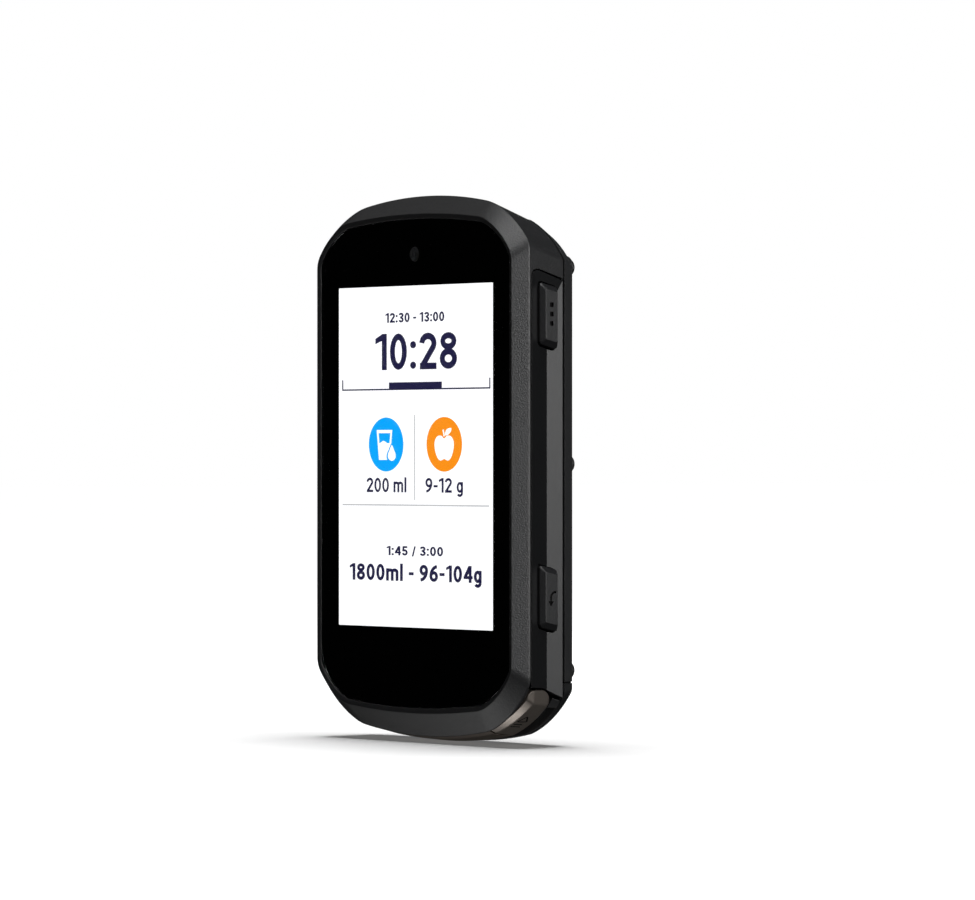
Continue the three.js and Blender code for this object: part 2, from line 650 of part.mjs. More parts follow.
function chassis() {
  const body = straight(CHASSIS, [4.3, 10.2]);
  const pocket = straight(inset(CHASSIS, 0.8), [5.0, 11]);
  const posts = STANDOFFS.map(([x, z]) => bar(x, z, 1.7, [4.8, 5.8], 12));
  const holes = STANDOFFS.map(([x, z]) => bar(x, z, SHANK_HOLE, [4.9, 8], 12));
  const flexSlot = block([-7, 7], [4, 6], [-33, -31]);
  return cut(body.subtract(pocket).add(join(posts)), [...holes, flexSlot]);
}

function mainBoard() {
  const outlinePoints = [
    [-19.6, -33], [19.6, -33], [19.6, 28], [12.8, 33.4], [-12.8, 33.4], [-19.6, 28],
  ];
  const shape = new THREE.Shape(outlinePoints.map(([x, z]) => new THREE.Vector2(x, z)));
  const board = plate(shape, [BOARD_LAYER.front, BOARD_LAYER.back]);
  return cut(board, STANDOFFS.map(([x, z]) => bar(x, z, SHANK_HOLE, [5, 8], 12)));
}

function boardScrew([x, z]) {
  return turned([[0, 5.2], [0.6, 5.2], [0.6, 6.75], [1.3, 6.75], [1.3, 7.3], [0, 7.3]], x, z, 10);
}

function shieldCan(x, z) {
  const can = block(x, [6.8, 8.4], z);
  const inside = block([x[0] + 0.25, x[1] - 0.25], [6, 8.15], [z[0] + 0.25, z[1] - 0.25]);
  return can.subtract(inside);
}

const patchAntenna = () => block([-7, 7], [6.8, 10.0], [19.0, 32.6]);

function battery() {
  const shape = roundedRectangle(17.5, 22, 1.6);
  return plate(shape, [7.6, 11.4], 0, -5, 3);
}

const batteryPad = () => block([-12, 12], [11.5, 11.85], [-22, 12]);

function speaker() {
  const { x, z, halfWidth, halfHeight } = SPEAKER;
  const frame = plate(roundedRectangle(halfWidth, halfHeight, 1.2), [7.0, 10.4], x, z, 3);
  const cone = plate(roundedRectangle(halfWidth - 1, halfHeight - 1, 0.8), [9.9, 12], x, z, 3);
  return frame.subtract(cone);
}

function speakerGasket() {
  const { x, z, halfWidth, halfHeight } = SPEAKER;
  const ring = plate(roundedRectangle(halfWidth - 0.1, halfHeight - 0.1, 1.2), [10.5, 11.85],
    x, z, 3);
  return ring.subtract(plate(roundedRectangle(halfWidth - 1, halfHeight - 1, 0.8), [10, 13],
    x, z, 3));
}

const ventMembrane = () => bar(VENT.x, VENT.z, 2.0, [11.7, 11.9], 12);

// ---------------------------------------------------------------- mount insert and screws

function mountInsert() {
  const { base, tabFront, face, neck, radius, z } = INSERT;
  const chamfer = 0.4;
  const hub = turned([
    [0, base], [neck, base], [neck, tabFront], [radius, tabFront],
    [radius, face - chamfer], [radius - chamfer, face], [0, face],
  ], 0, z, 36);
  const holes = insertScrewPlaces().flatMap(([x, height]) => [
    bar(x, height, SHANK_HOLE, [12, 18]), bar(x, height, 1.8, [15.2, 18]),
  ]);
  return cut(join([hub, mountTab(0), mountTab(Math.PI)]), holes);
}

function mountTab(facing) {
  const { tabFront, face, tabRadius, tabAngle, z } = INSERT;
  const spread = THREE.MathUtils.degToRad(tabAngle);
  const shape = new THREE.Shape();
  shape.absarc(0, 0, tabRadius, facing - spread, facing + spread, false);
  shape.absarc(0, 0, INSERT.neck - 1.5, facing + spread * 1.25, facing - spread * 1.25, true);
  return plate(shape, [tabFront, face], 0, z, 6);
}

function hexRecess(x, z, across, y) {
  return bar(x, z, across, y, 6);
}

function insertScrew([x, z]) {
  const screw = turned([
    [0, 12.2], [SHANK, 12.2], [SHANK, 15.3], [1.65, 15.3], [1.65, 16.3], [0, 16.3],
  ], x, z, 14);
  return screw.subtract(hexRecess(x, z, 0.75, [15.7, 17]));
}

function caseScrew([x, z]) {
  const { head, top, tip } = CASE_SCREW;
  const seat = FACE_Y + 0.1;
  const screw = turned([
    [0, tip], [SHANK, tip], [SHANK, seat], [head, seat], [head, seat + 0.3],
    [head * 0.8, top - 0.15], [head * 0.45, top], [0, top],
  ], x, z, 14);
  return screw.subtract(hexRecess(x, z, 0.6, [top - 0.5, top + 1]));
}

// ---------------------------------------------------------------- assembly

const design = new THREE.Group();
design.position.set(0, -INSERT.face, -INSERT.z);

function add(name, solid, material) {
  const mesh = new THREE.Mesh(geometryFrom(solid), material.clone());
  mesh.name = name;
  design.add(mesh);
}

add('front_housing', frontHousing(), SHELL);
add('cover_glass', coverGlass(), LENS);
add('lens_adhesive', lensAdhesive(), RUBBER);
add('light_sensor', lightSensor(), DARK_SHELL);
add('display_panel', displayPanel(), SCREEN);
add('display_tray', displayTray(), STEEL);
add('display_flex', displayFlex(), AMBER_FILM);

add('right_side_band', sideBand(RIGHT_BUTTONS), BAND_FINISH);
add('left_side_band', mirrored(sideBand(LEFT_BUTTONS)), BAND_FINISH);
add('right_switch_flex', switchFlex(), AMBER_FILM);
add('left_switch_flex', mirrored(switchFlex()), AMBER_FILM);
for (const button of RIGHT_BUTTONS) {
  add(button.name, sideButton(button), BUTTON_FINISH);
  add(button.name.replace('button', 'switch'), sideSwitch(button), STEEL);
}
for (const button of LEFT_BUTTONS) {
  add(button.name, mirrored(sideButton(button)), BUTTON_FINISH);
  add(button.name.replace('button', 'switch'), mirrored(sideSwitch(button)), STEEL);
}

add('bottom_trim', bottomTrim(), BRONZE);
add('start_button', cornerButton(), BRONZE);
add('start_switch', cornerSwitch(), STEEL);
add('lap_button', mirrored(cornerButton()), BRONZE);
add('lap_switch', mirrored(cornerSwitch()), STEEL);

add('rear_housing', rearHousing(), SHELL);
add('bottom_cap', bottomCap(), DARK_SHELL);
add('main_gasket', mainGasket(), RUBBER);
add('port_cover', portCover(), RUBBER);
add('usb_receptacle', usbReceptacle(), STEEL);
add('lanyard_pin', lanyardPin(0.5, 1.9), STEEL);

add('chassis', chassis(), STEEL);
add('main_board', mainBoard(), BOARD);
STANDOFFS.forEach((place, i) => add(`board_screw_${i + 1}`, boardScrew(place), STEEL));
add('rf_shield', shieldCan([-19, -8.5], [17.8, 24]), STEEL);
add('power_shield', shieldCan([8.5, 19], [17.8, 24]), STEEL);
add('gnss_antenna', patchAntenna(), CERAMIC);
add('battery', battery(), CELL);
add('battery_pad', batteryPad(), FOAM);
add('speaker', speaker(), DARK_SHELL);
add('speaker_gasket', speakerGasket(), FOAM);
add('vent_membrane', ventMembrane(), CERAMIC);

add('mount_insert', mountInsert(), DARK_SHELL);
insertScrewPlaces().forEach((place, i) => (
  add(`mount_screw_${i + 1}`, insertScrew(place), BLACK_SCREW)));
caseScrewPlaces().forEach((place, i) => add(`case_screw_${i + 1}`, caseScrew(place), BLACK_SCREW));

const computer = new THREE.Group();
computer.add(design);

export default computer;
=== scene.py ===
"""Finished looks for the cycling computer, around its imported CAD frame.

Lengths are millimetres in the design frame: X to the rider's right, Y into the body from the
bezel rim, Z up from the middle of the display. metres() turns them into the frame of the CAD
part, whose origin is the middle of the mount insert's rear face.
"""
import json
import math

import bmesh
import bpy
import numpy as np
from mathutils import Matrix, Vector


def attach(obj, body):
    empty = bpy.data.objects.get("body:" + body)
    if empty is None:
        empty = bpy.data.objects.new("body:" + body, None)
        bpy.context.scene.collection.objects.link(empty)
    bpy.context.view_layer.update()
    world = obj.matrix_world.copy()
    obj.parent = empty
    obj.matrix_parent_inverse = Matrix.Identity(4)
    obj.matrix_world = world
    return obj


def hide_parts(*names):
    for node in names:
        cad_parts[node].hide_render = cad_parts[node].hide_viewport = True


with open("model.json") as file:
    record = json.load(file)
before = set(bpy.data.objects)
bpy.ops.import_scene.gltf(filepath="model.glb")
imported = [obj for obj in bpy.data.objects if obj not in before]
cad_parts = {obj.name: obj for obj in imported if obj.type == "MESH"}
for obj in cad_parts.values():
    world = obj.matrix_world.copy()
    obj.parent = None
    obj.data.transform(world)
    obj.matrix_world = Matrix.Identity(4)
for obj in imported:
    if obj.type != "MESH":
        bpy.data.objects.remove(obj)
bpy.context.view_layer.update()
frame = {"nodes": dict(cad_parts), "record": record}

MM = 0.001
INSERT_FACE, INSERT_Z = 16.5, -2.0   # the mount insert's rear face and its middle height


def metres(points):
    return (np.asarray(points, float) - (0.0, INSERT_FACE, INSERT_Z)) * MM


# ---- camera, floor and lights

scene = bpy.context.scene


def aimed(name, data, where, toward):
    obj = bpy.data.objects.new(name, data)
    obj.location = where
    obj.rotation_mode = "QUATERNION"
    obj.rotation_quaternion = (Vector(toward) - Vector(where)).to_track_quat("-Z", "Y")
    scene.collection.objects.link(obj)
    return obj


CAMERA_AT = Vector((0.6414, -0.55505, 0.00175))
LOOKS_ALONG = Vector((-0.7562, 0.6543, 0.0))
camera_data = bpy.data.cameras.new("camera")
camera_data.lens = 188.3
camera_data.sensor_width = 36.0
camera_data.shift_y = 0.0083
camera_data.clip_end = 20.0
scene.camera = aimed("camera", camera_data, CAMERA_AT, CAMERA_AT + LOOKS_ALONG)

FLOOR_Z = -0.045
BODY_MIDDLE = (0, -0.008, 0)


def light(name, where, size, watts):
    data = bpy.data.lights.new(name, "AREA")
    data.shape = "RECTANGLE"
    data.size, data.size_y = size
    data.energy = watts
    return aimed(name, data, where, BODY_MIDDLE)


*object_lights, floor_light = [light(name, where, size, watts) for name, where, size, watts in (
    ("key_right", (0.778, -0.01, 0.12), (0.66, 0.36), 6.8),
    ("top", (0.14, -0.14, 0.5), (0.35, 0.4), 2.5),
    ("top_left", (-0.42, 0.0, 0.42), (0.3, 0.3), 0.09),
    ("bounce_low", (-0.2, -0.22, -0.48), (0.45, 0.4), 0.78),
    ("low_strip", (-0.08, 0.0, -0.5), (0.1, 0.1), 0.22),
    ("back_fill", (-0.3, 0.55, 0.16), (0.6, 0.6), 12.0),
    ("floor_overhead", (-0.03, 0.03, 0.45), (0.26, 0.26), 2.9),
)]
object_lights[-1].visible_glossy = False    # the back fill would mirror in the hood


def node(tree, kind, inputs=None, **settings):
    """A shader node. A socket among the inputs is linked, and any other value is set."""
    made = tree.nodes.new(kind)
    for key, value in settings.items():
        setattr(made, key, value)
    for key, value in (inputs or {}).items():
        if isinstance(value, bpy.types.NodeSocket):
            tree.links.new(value, made.inputs[key])
        else:
            made.inputs[key].default_value = value
    return made


ROOM_GLOW = 0.003   # what the white surroundings add to the object's own light

world = bpy.data.worlds.new("studio")
scene.world = world
world.use_nodes = True
tree = world.node_tree
tree.nodes.clear()
rays = node(tree, "ShaderNodeLightPath")
white = node(tree, "ShaderNodeBackground", {"Color": (1, 1, 1, 1), "Strength": 1.0})
dim = node(tree, "ShaderNodeBackground", {"Color": (0.9, 0.95, 1, 1), "Strength": ROOM_GLOW})
both = node(tree, "ShaderNodeMixShader", {0: rays.outputs["Is Camera Ray"]})
tree.links.new(dim.outputs[0], both.inputs[1])
tree.links.new(white.outputs[0], both.inputs[2])
node(tree, "ShaderNodeOutputWorld", {"Surface": both.outputs[0]})
scene.view_settings.view_transform = "Standard"

# ---- materials

EDGE = 0.09 * MM                    # radius of the softened edges
MOTTLE_SIZE, PIXEL = 6.0, 0.094     # millimetres


def material(name, color):
    """A new material and its empty node tree."""
    made = bpy.data.materials.new(name)
    made.use_nodes = True
    made.diffuse_color = color
    made.node_tree.nodes.clear()
    return made, made.node_tree


def grain(tree, size, detail=2.0):
    """Noise whose features are about size millimetres across."""
    place = node(tree, "ShaderNodeTexCoord").outputs["Object"]
    return node(tree, "ShaderNodeTexNoise",
                {"Vector": place, "Scale": 1.0 / (size * MM), "Detail": detail}).outputs["Fac"]


def ranged(tree, value, low, high):
    """Noise, which stays near its middle, spread over the range from low to high."""
    return node(tree, "ShaderNodeMapRange", {
        "Value": value, "From Min": 0.3, "From Max": 0.7, "To Min": low, "To Max": high,
    }).outputs["Result"]


def surface(name, color, rough, metal=0.0, texture=0.16, relief=0.01, mottle=0.12,
            specular=0.5, edge=EDGE):
    """A moulded or machined surface: grain relief, uneven sheen, soft edges, faint mottling."""
    made, tree = material(name, (*color, 1))
    fine, coarse = grain(tree, texture), grain(tree, MOTTLE_SIZE, 4.0)
    tone = node(tree, "ShaderNodeMix", {
        "Factor": coarse,
        6: (*(c * (1 - mottle) for c in color), 1),
        7: (*(min(1, c * (1 + mottle)) for c in color), 1),
    }, data_type="RGBA").outputs[2]
    soft = node(tree, "ShaderNodeBevel", {"Radius": edge}, samples=4).outputs[0]
    bump = node(tree, "ShaderNodeBump", {
        "Strength": 1.0, "Distance": relief * MM, "Height": fine, "Normal": soft}).outputs[0]
    body = node(tree, "ShaderNodeBsdfPrincipled", {
        "Base Color": tone, "Metallic": metal, "Normal": bump,
        "Roughness": ranged(tree, fine, rough * 0.88, min(1.0, rough * 1.12)),
        "Specular IOR Level": specular})
    node(tree, "ShaderNodeOutputMaterial", {"Surface": body.outputs[0]})
    return made


def lit(name, color, strength):
    """A glowing screen colour with the faint grid of its pixels."""
    made, tree = material(name, (*color, 1))
    place = node(tree, "ShaderNodeTexCoord").outputs["Object"]
    dots = node(tree, "ShaderNodeTexVoronoi", {"Vector": place, "Scale": 1.0 / (PIXEL * MM)})
    glow = node(tree, "ShaderNodeMapRange", {
        "Value": dots.outputs["Distance"], "From Min": 0.0, "From Max": 1.0,
        "To Min": strength * 1.01, "To Max": strength * 0.98}).outputs["Result"]
    body = node(tree, "ShaderNodeBsdfPrincipled", {
        "Base Color": (0.02, 0.02, 0.02, 1), "Roughness": 0.5,
        "Emission Color": (*color, 1), "Emission Strength": glow})
    node(tree, "ShaderNodeOutputMaterial", {"Surface": body.outputs[0]})
    return made


def clear_glass():
    """Clear glass with a trace of uneven polish."""
    made, tree = material("lens_glass", (0.1, 0.1, 0.1, 0.3))
    body = node(tree, "ShaderNodeBsdfPrincipled", {
        "Base Color": (0.98, 0.99, 1, 1), "IOR": 1.46, "Transmission Weight": 1.0,
        "Roughness": ranged(tree, grain(tree, 9.0), 0.0, 0.015)})
    node(tree, "ShaderNodeOutputMaterial", {"Surface": body.outputs[0]})
    return made


LOOK = {
    "shell": surface("shell_plastic", (0.009, 0.0092, 0.0098), 0.45, texture=0.26, relief=0.045),
    "cap": surface("cap_plastic", (0.007, 0.0072, 0.0076), 0.45, texture=0.28, specular=0.4),
    "band": surface("band_plastic", (0.006, 0.0062, 0.0066), 0.34, relief=0.003, specular=0.25),
    "button": surface("button_plastic", (0.007, 0.0072, 0.0078), 0.42, texture=0.2, relief=0.02,
                      edge=0.03 * MM),
    # near-black painted shade: lines the engraved button marks and colours the seam tongue, so
    # these recesses and gaps read dark
    "painted_shade": surface("near_black_painted_shade", (0.0008, 0.0008, 0.0008), 0.8, specular=0.1),
    "bronze": surface("bronze_satin", (0.24, 0.21, 0.185), 0.32, metal=0.8,
                      texture=0.12, relief=0.006),
    # a half-bright copy of the buttons' bronze: painted shade on the trim, whose faces look down
    "trim": surface("darker_bronze_painted_shade", (0.12, 0.1, 0.085), 0.42, metal=0.8, texture=0.12,
                    relief=0.006),
    "rubber": surface("rubber_black", (0.012, 0.012, 0.012), 0.75, specular=0.3),
    "ink": surface("lens_ink", (0.0001, 0.0001, 0.0001), 0.6, specular=0.0),
    "sensor": surface("sensor_window", (0.045, 0.045, 0.048), 0.3),
    "insert": surface("insert_plastic", (0.02, 0.021, 0.022), 0.6, relief=0.014),
    "black_steel": surface("black_steel", (0.05, 0.05, 0.053), 0.35, metal=0.85, texture=0.1,
                           relief=0.003),
    "steel": surface("stamped_steel", (0.55, 0.56, 0.58), 0.28, metal=1.0, texture=0.3,
                     relief=0.004),
    "magnesium": surface("cast_magnesium", (0.34, 0.35, 0.37), 0.5, metal=0.9, texture=0.4,
                         relief=0.02),
    "board": surface("solder_mask", (0.02, 0.09, 0.05), 0.35, texture=0.8, mottle=0.3),
    "film": surface("polyimide_film", (0.36, 0.16, 0.06), 0.3, texture=1.0),
    "ceramic": surface("fired_ceramic", (0.66, 0.6, 0.5), 0.6, texture=0.3),
    "cell": surface("foil_pouch", (0.3, 0.32, 0.35), 0.35, metal=0.6, texture=1.2, relief=0.03),
    "foam": surface("open_foam", (0.03, 0.03, 0.032), 0.95, texture=0.4, relief=0.06),
    "white": lit("screen_white", (1, 1, 1), 1.25),
    "navy": lit("screen_navy", (0.012, 0.0105, 0.055), 1.0),
    "blue": lit("screen_blue", (0.0, 0.39, 1.0), 1.1),
    "orange": lit("screen_orange", (1.0, 0.29, 0.006), 1.1),
    "grey": lit("screen_grey", (0.55, 0.55, 0.56), 1.1),
    "glass": clear_glass(),
}
# the slots whose look has another name
SLOT_LOOK = {
    "housing": "shell", "lens": "glass", "screen": "white", "black_screw": "black_steel",
    "speaker": "cap",
}
for part in frame["record"]["subparts"]:
    piece = frame["nodes"][part["node"]]
    piece.data.materials.clear()
    slot = part["material_slot"]
    piece.data.materials.append(LOOK[SLOT_LOOK.get(slot, slot)])

# ---- mesh tools

BACK = np.array([(1, 0, 0), (0, 0, 1), (0, 1, 0)], float)   # drawn in X and Z, raised along Y
SIDE = np.array([(0, 1, 0), (0, 0, 1), (1, 0, 0)], float)   # drawn in Y and Z, raised along X
MIRROR = np.array((-1.0, 1.0, 1.0))
FAR = 60.0                                                  # beyond the body on every side
MERGE_DISTANCE = 2e-7


def add_mesh(name, points, faces, look):
    """A new object from points in the design frame."""
    mesh = bpy.data.meshes.new(name)
    mesh.from_pydata(metres(points).tolist(), [], faces)
    work = bmesh.new()
    work.from_mesh(mesh)
    bmesh.ops.remove_doubles(work, verts=work.verts, dist=MERGE_DISTANCE)
    bmesh.ops.recalc_face_normals(work, faces=work.faces)
    work.to_mesh(mesh)
    work.free()
    mesh.materials.append(look)
    obj = bpy.data.objects.new(name, mesh)
    scene.collection.objects.link(obj)
    return obj


def skin(rings, closed=False):
    """Faces between rings with equal point counts. A closed set of rings makes a torus."""
    rings = np.array(rings)
    count, size = rings.shape[:2]
    faces = []
    for j in range(count if closed else count - 1):
        a, b = j * size, (j + 1) % count * size
        for i in range(size):
            k = (i + 1) % size
            faces.append((a + i, a + k, b + k, b + i))
    if not closed:
        faces.append(tuple(range(size)))
        faces.append(tuple(range((count - 1) * size, count * size)))
    return rings.reshape(-1, 3), faces


def fillet(rings, sizes, closed=False, steps=4):
    """Rounds each ring of points over its size along the way to the rings beside it."""
    out = []
    last = len(rings) - 1
    for j, (ring, size) in enumerate(zip(rings, sizes)):
        if not size or (not closed and j in (0, last)):
            out.append(ring)
            continue
        before, after = rings[j - 1] - ring, rings[(j + 1) % len(rings)] - ring
        ends = []
        for way in (before, after):
            length = np.linalg.norm(way, axis=1, keepdims=True)
            ends.append(ring + way * np.minimum(0.45, size / np.maximum(length, 1e-9)))
        for t in np.linspace(0, 1, steps + 1):
            out.append((1 - t) ** 2 * ends[0] + 2 * t * (1 - t) * ring + t ** 2 * ends[1])
    return out


def shell_of(name, keys, look, closed=False):
    """A body skinned over outlines, each with the rounding of its edge."""
    rings = fillet([ring for ring, _ in keys], [size for _, size in keys], closed)
    return add_mesh(name, *skin(rings, closed), look)


def combine(obj, tools, operation="DIFFERENCE"):
    """Cuts obj with the tools, or joins them to it, and leaves one mesh."""
    for tool in tools:
        step = obj.modifiers.new("step", "BOOLEAN")
        step.object, step.operation, step.solver = tool, operation, "EXACT"
        step.material_mode = "TRANSFER"
    graph = bpy.context.evaluated_depsgraph_get()
    obj.data = bpy.data.meshes.new_from_object(obj.evaluated_get(graph), depsgraph=graph)
    obj.modifiers.clear()
    for tool in tools:
        bpy.data.objects.remove(tool)
    return obj


def finished(obj, body, slot, *nodes, angle=28):
    """Shades a piece, rides it on its body and puts it in place of the named CAD nodes."""
    obj.data.shade_smooth()
    obj.data.set_sharp_from_angle(angle=math.radians(angle))
    obj.modifiers.new("even_normals", "WEIGHTED_NORMAL").keep_sharp = True
    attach(obj, body)
    if nodes:
        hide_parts(*nodes)
    return obj


def circle(radius, steps=48):
    angles = np.linspace(0, 2 * math.pi, steps, endpoint=False)
    return np.c_[radius * np.cos(angles), radius * np.sin(angles)]


def bow(centre, radii, start, stop, steps=15):
    """Points along part of a circle or an ellipse, by angle in degrees."""
    angles = np.radians(np.linspace(start, stop, steps))
    return np.c_[np.cos(angles), np.sin(angles)] * radii + centre


def bar(x, z):
    """An upright rectangle between two widths and two heights."""
    return [(x[0], z[0]), (x[1], z[0]), (x[1], z[1]), (x[0], z[1])]


def rounded(half_x, half_y, radius, steps=7):
    """A rectangle with round corners."""
    quarter = np.linspace(0, math.pi / 2, steps)
    turns = [(1, 1, 0), (-1, 1, 1), (-1, -1, 2), (1, -1, 3)]
    return np.vstack([np.c_[
        sx * (half_x - radius) + radius * np.cos(quarter + k * math.pi / 2),
        sy * (half_y - radius) + radius * np.sin(quarter + k * math.pi / 2),
    ] for sx, sy, k in turns])


def stroke(line, width):
    """The outline of a line of that width with square ends."""
    line = np.asarray(line, float)
    way = np.gradient(line, axis=0)
    way /= np.linalg.norm(way, axis=1, keepdims=True)
    across = np.c_[-way[:, 1], way[:, 0]] * width / 2
    return np.vstack([line + across, (line - across)[::-1]])


def smooth_loop(points, steps=6):
    """A closed curve through the points."""
    p = np.asarray(points, float)
    before, after, beyond = np.roll(p, 1, 0), np.roll(p, -1, 0), np.roll(p, -2, 0)
    parts = []
    for t in np.linspace(0, 1, steps, endpoint=False):
        parts.append(0.5 * (2 * p + (after - before) * t
                            + (2 * before - 5 * p + 4 * after - beyond) * t * t
                            + (3 * p - before - 3 * after + beyond) * t ** 3))
    return np.stack(parts, 1).reshape(-1, 2)


def tower(name, levels, look, at=(0, 0, 0), axes=BACK, side=1, soft=None):
    """Skins flat rings, each (ring, height), stacked along the third axis of axes."""
    rings = []
    for ring, height in levels:
        raised = np.c_[ring, np.full(len(ring), height)] @ axes + at
        rings.append(raised * (side, 1, 1))
    if soft:
        rings = fillet(rings, soft)
    return add_mesh(name, *skin(rings), look)


def slab(ring, low, high, look, at=(0, 0, 0), axes=BACK, side=1):
    """A flat ring raised from low to high."""
    return tower("tool", [(ring, low), (ring, high)], look, at, axes, side)


def box(x, y, z, look):
    return slab(bar(x, z), y[0], y[1], look)


# ---- outlines of the body

# Each outline is half the width, the heights of its top and bottom middles, the knees where the
# ends meet the corner arcs, and the heights where those arcs meet the straight sides.
LIP_INSIDE = dict(half=24.0, top=39.05, knee=(17.0, 38.0), side=32.2,
                  bottom=-41.35, low_knee=(16.9, -40.4), low_side=-34.4, bulge=0.85)
LIP = dict(half=24.75, top=39.8, knee=(17.4, 38.75), side=32.4,
           bottom=-42.1, low_knee=(17.2, -41.1), low_side=-34.7, bulge=0.85)
SHOULDER = dict(half=26.5, top=42.95, knee=(16.0, 41.5), side=34.3,
                bottom=-46.0, low_knee=(16.4, -44.5), low_side=-36.4, bulge=1.0)
REAR_SEAM = dict(half=25.7, top=40.0, knee=(17.3, 38.6), side=31.8, bulge=0.8,
                 bottom=-46.9, low_knee=(15.6, -45.5), low_side=-38.5, low_bulge=1.3)
REAR_EDGE = dict(half=25.2, top=38.4, knee=(17.0, 37.2), side=30.9,
                 bottom=-47.0, low_knee=(15.4, -45.4), low_side=-38.0, bulge=0.9)
REAR_POCKET = dict(half=23.7, top=38.0, knee=(16.6, 36.7), side=30.9,
                   bottom=-34.6, low_knee=(22.6, -34.5), low_side=-33.6, bulge=0.4)
CAP_TUB = dict(half=21.2, top=-30.0, knee=(15.0, -30.3), side=-32.0,
               bottom=-42.9, low_knee=(14.0, -41.5), low_side=-37.4, bulge=0.3)
OPENING = dict(half=20.95, top=30.6, knee=(18.5, 30.4), side=28.8,
               bottom=-30.6, low_knee=(18.5, -30.4), low_side=-28.8, bulge=0.4)
SHOULDER_DEPTH = dict(side=2.4, knee=3.0, end=3.2, low_knee=2.75, low_end=2.85)
GLASS_FRONT, GLASS_BACK, INK_FRONT, INK_BACK, SHELF_FRONT = 0.3, 0.7, 0.75, 0.85, 0.9
PANEL_FRONT, SHELF_BACK, FRONT_SEAM, REAR_FRONT_SEAM = 0.8, 3.0, 10.4, 10.7
EDGE_Y, FACE_Y, REAR_FLOOR, FACE_INSET = 12.85, 13.4, 12.0, 1.0
CORNER_SOFT, FRONT_SOFT = 0.45, 1.1   # how far a corner between two sides is rounded


def arc(p, q, bulge, steps=24):
    """Points of the arc from p to q that stands out by bulge on its left."""
    p, q = np.asarray(p, float), np.asarray(q, float)
    chord = np.linalg.norm(q - p)
    radius = (chord * chord / 4 + bulge * bulge) / (2 * bulge)
    left = np.array((-(q - p)[1], (q - p)[0])) / chord
    centre = (p + q) / 2 + left * (bulge - radius)
    start = math.atan2(*(p - centre)[::-1])
    sweep = 2 * math.asin(chord / 2 / radius)
    angles = start - sweep * np.linspace(0, 1, steps)
    return centre + abs(radius) * np.c_[np.cos(angles), np.sin(angles)]


def end_height(middle, knee, x):
    """Height at x of the arc through the end's middle and both knees."""
    rise = middle - knee[1]
    radius = (knee[0] ** 2 + rise ** 2) / (2 * rise)
    return middle - radius + np.sign(radius) * np.sqrt(radius ** 2 - np.square(x))


def chain(lines, counts, soft):
    """Joins lines end to end with fixed point counts, and rounds each joint over soft."""
    out = []
    for i, (line, count) in enumerate(zip(lines, counts)):
        line = np.asarray(line, float)
        run = np.r_[0, np.cumsum(np.linalg.norm(np.diff(line, axis=0), axis=1))]
        start, stop = soft * (i > 0), run[-1] - soft * (i < len(lines) - 1)
        at = np.linspace(start, stop, count)
        spaced = np.stack([np.interp(at, run, line[:, k]) for k in range(3)], 1)
        if i:
            before, corner, after = out[-1], line[0], spaced[0]
            for t in (0.2, 0.4, 0.6, 0.8):
                out.append((1 - t) ** 2 * before + 2 * t * (1 - t) * corner + t * t * after)
        out.extend(spaced)
    return np.array(out)


def outline(spec, depth, soft=CORNER_SOFT):
    """A closed ring of the body's outline. depth is Y, or Y at the side, knees and ends."""
    if not isinstance(depth, dict):
        depth = dict.fromkeys(SHOULDER_DEPTH, depth)
    knee, low_knee = spec["knee"], spec["low_knee"]
    top_x, low_x = np.linspace(0, knee[0], 24), np.linspace(low_knee[0], 0, 24)
    side, low_side = (spec["half"], spec["side"]), (spec["half"], spec["low_side"])
    flat = [
        (np.c_[top_x, end_height(spec["top"], knee, top_x)], depth["end"], depth["knee"]),
        (arc(knee, side, spec["bulge"]), depth["knee"], depth["side"]),
        (np.array((side, low_side)), depth["side"], depth["side"]),
        (arc(low_side, low_knee, spec.get("low_bulge", spec["bulge"])),
         depth["side"], depth["low_knee"]),
        (np.c_[low_x, end_height(spec["bottom"], low_knee, low_x)],
         depth["low_knee"], depth["low_end"]),
    ]
    lines = [np.c_[line[:, 0], np.linspace(y0, y1, len(line)), line[:, 1]]
             for line, y0, y1 in flat]
    half = chain(lines, (14, 14, 30, 14, 14), soft)
    return np.vstack([half, half[-2:0:-1] * MIRROR])


def inset(spec, distance):
    """The outline drawn in by a distance. Its knees and arc ends follow along its corners."""
    def shifted(point):
        x, z = point
        return x - 0.35 * distance, z - math.copysign(0.95 * distance, z)

    return dict(spec, half=spec["half"] - distance, top=spec["top"] - distance,
                bottom=spec["bottom"] + distance, knee=shifted(spec["knee"]),
                low_knee=shifted(spec["low_knee"]), side=spec["side"] - 0.45 * distance,
                low_side=spec["low_side"] + 0.45 * distance)


def straight(spec, low, high, look):
    """A body of one outline from low to high."""
    return add_mesh("tool", *skin([outline(spec, low), outline(spec, high)]), look)


# ---- side bands and their notch

BAND = dict(front=3.0, valley=7.45, rear=10.3, inner=22.4, front_x=26.35, valley_x=25.0,
            groove_top=23.4, slant=0.22, rear_x=25.65, top=30.0, top_rear=28.45, corner=1.5,
            low=[(3.0, -37.2), (6.3, -37.35), (7.45, -37.7), (10.3, -39.0)])
NOTCH_GAP, NOTCH_FLOOR = 0.25, 0.9
BUTTON_GAP, FLANGE_GAP, FLANGE_ROOM = 0.25, 0.9, 23.5
SCREW_X, SCREW_HEIGHTS, SHANK_HOLE = 23.2, (30.7, -1.2, -34.7), 0.85


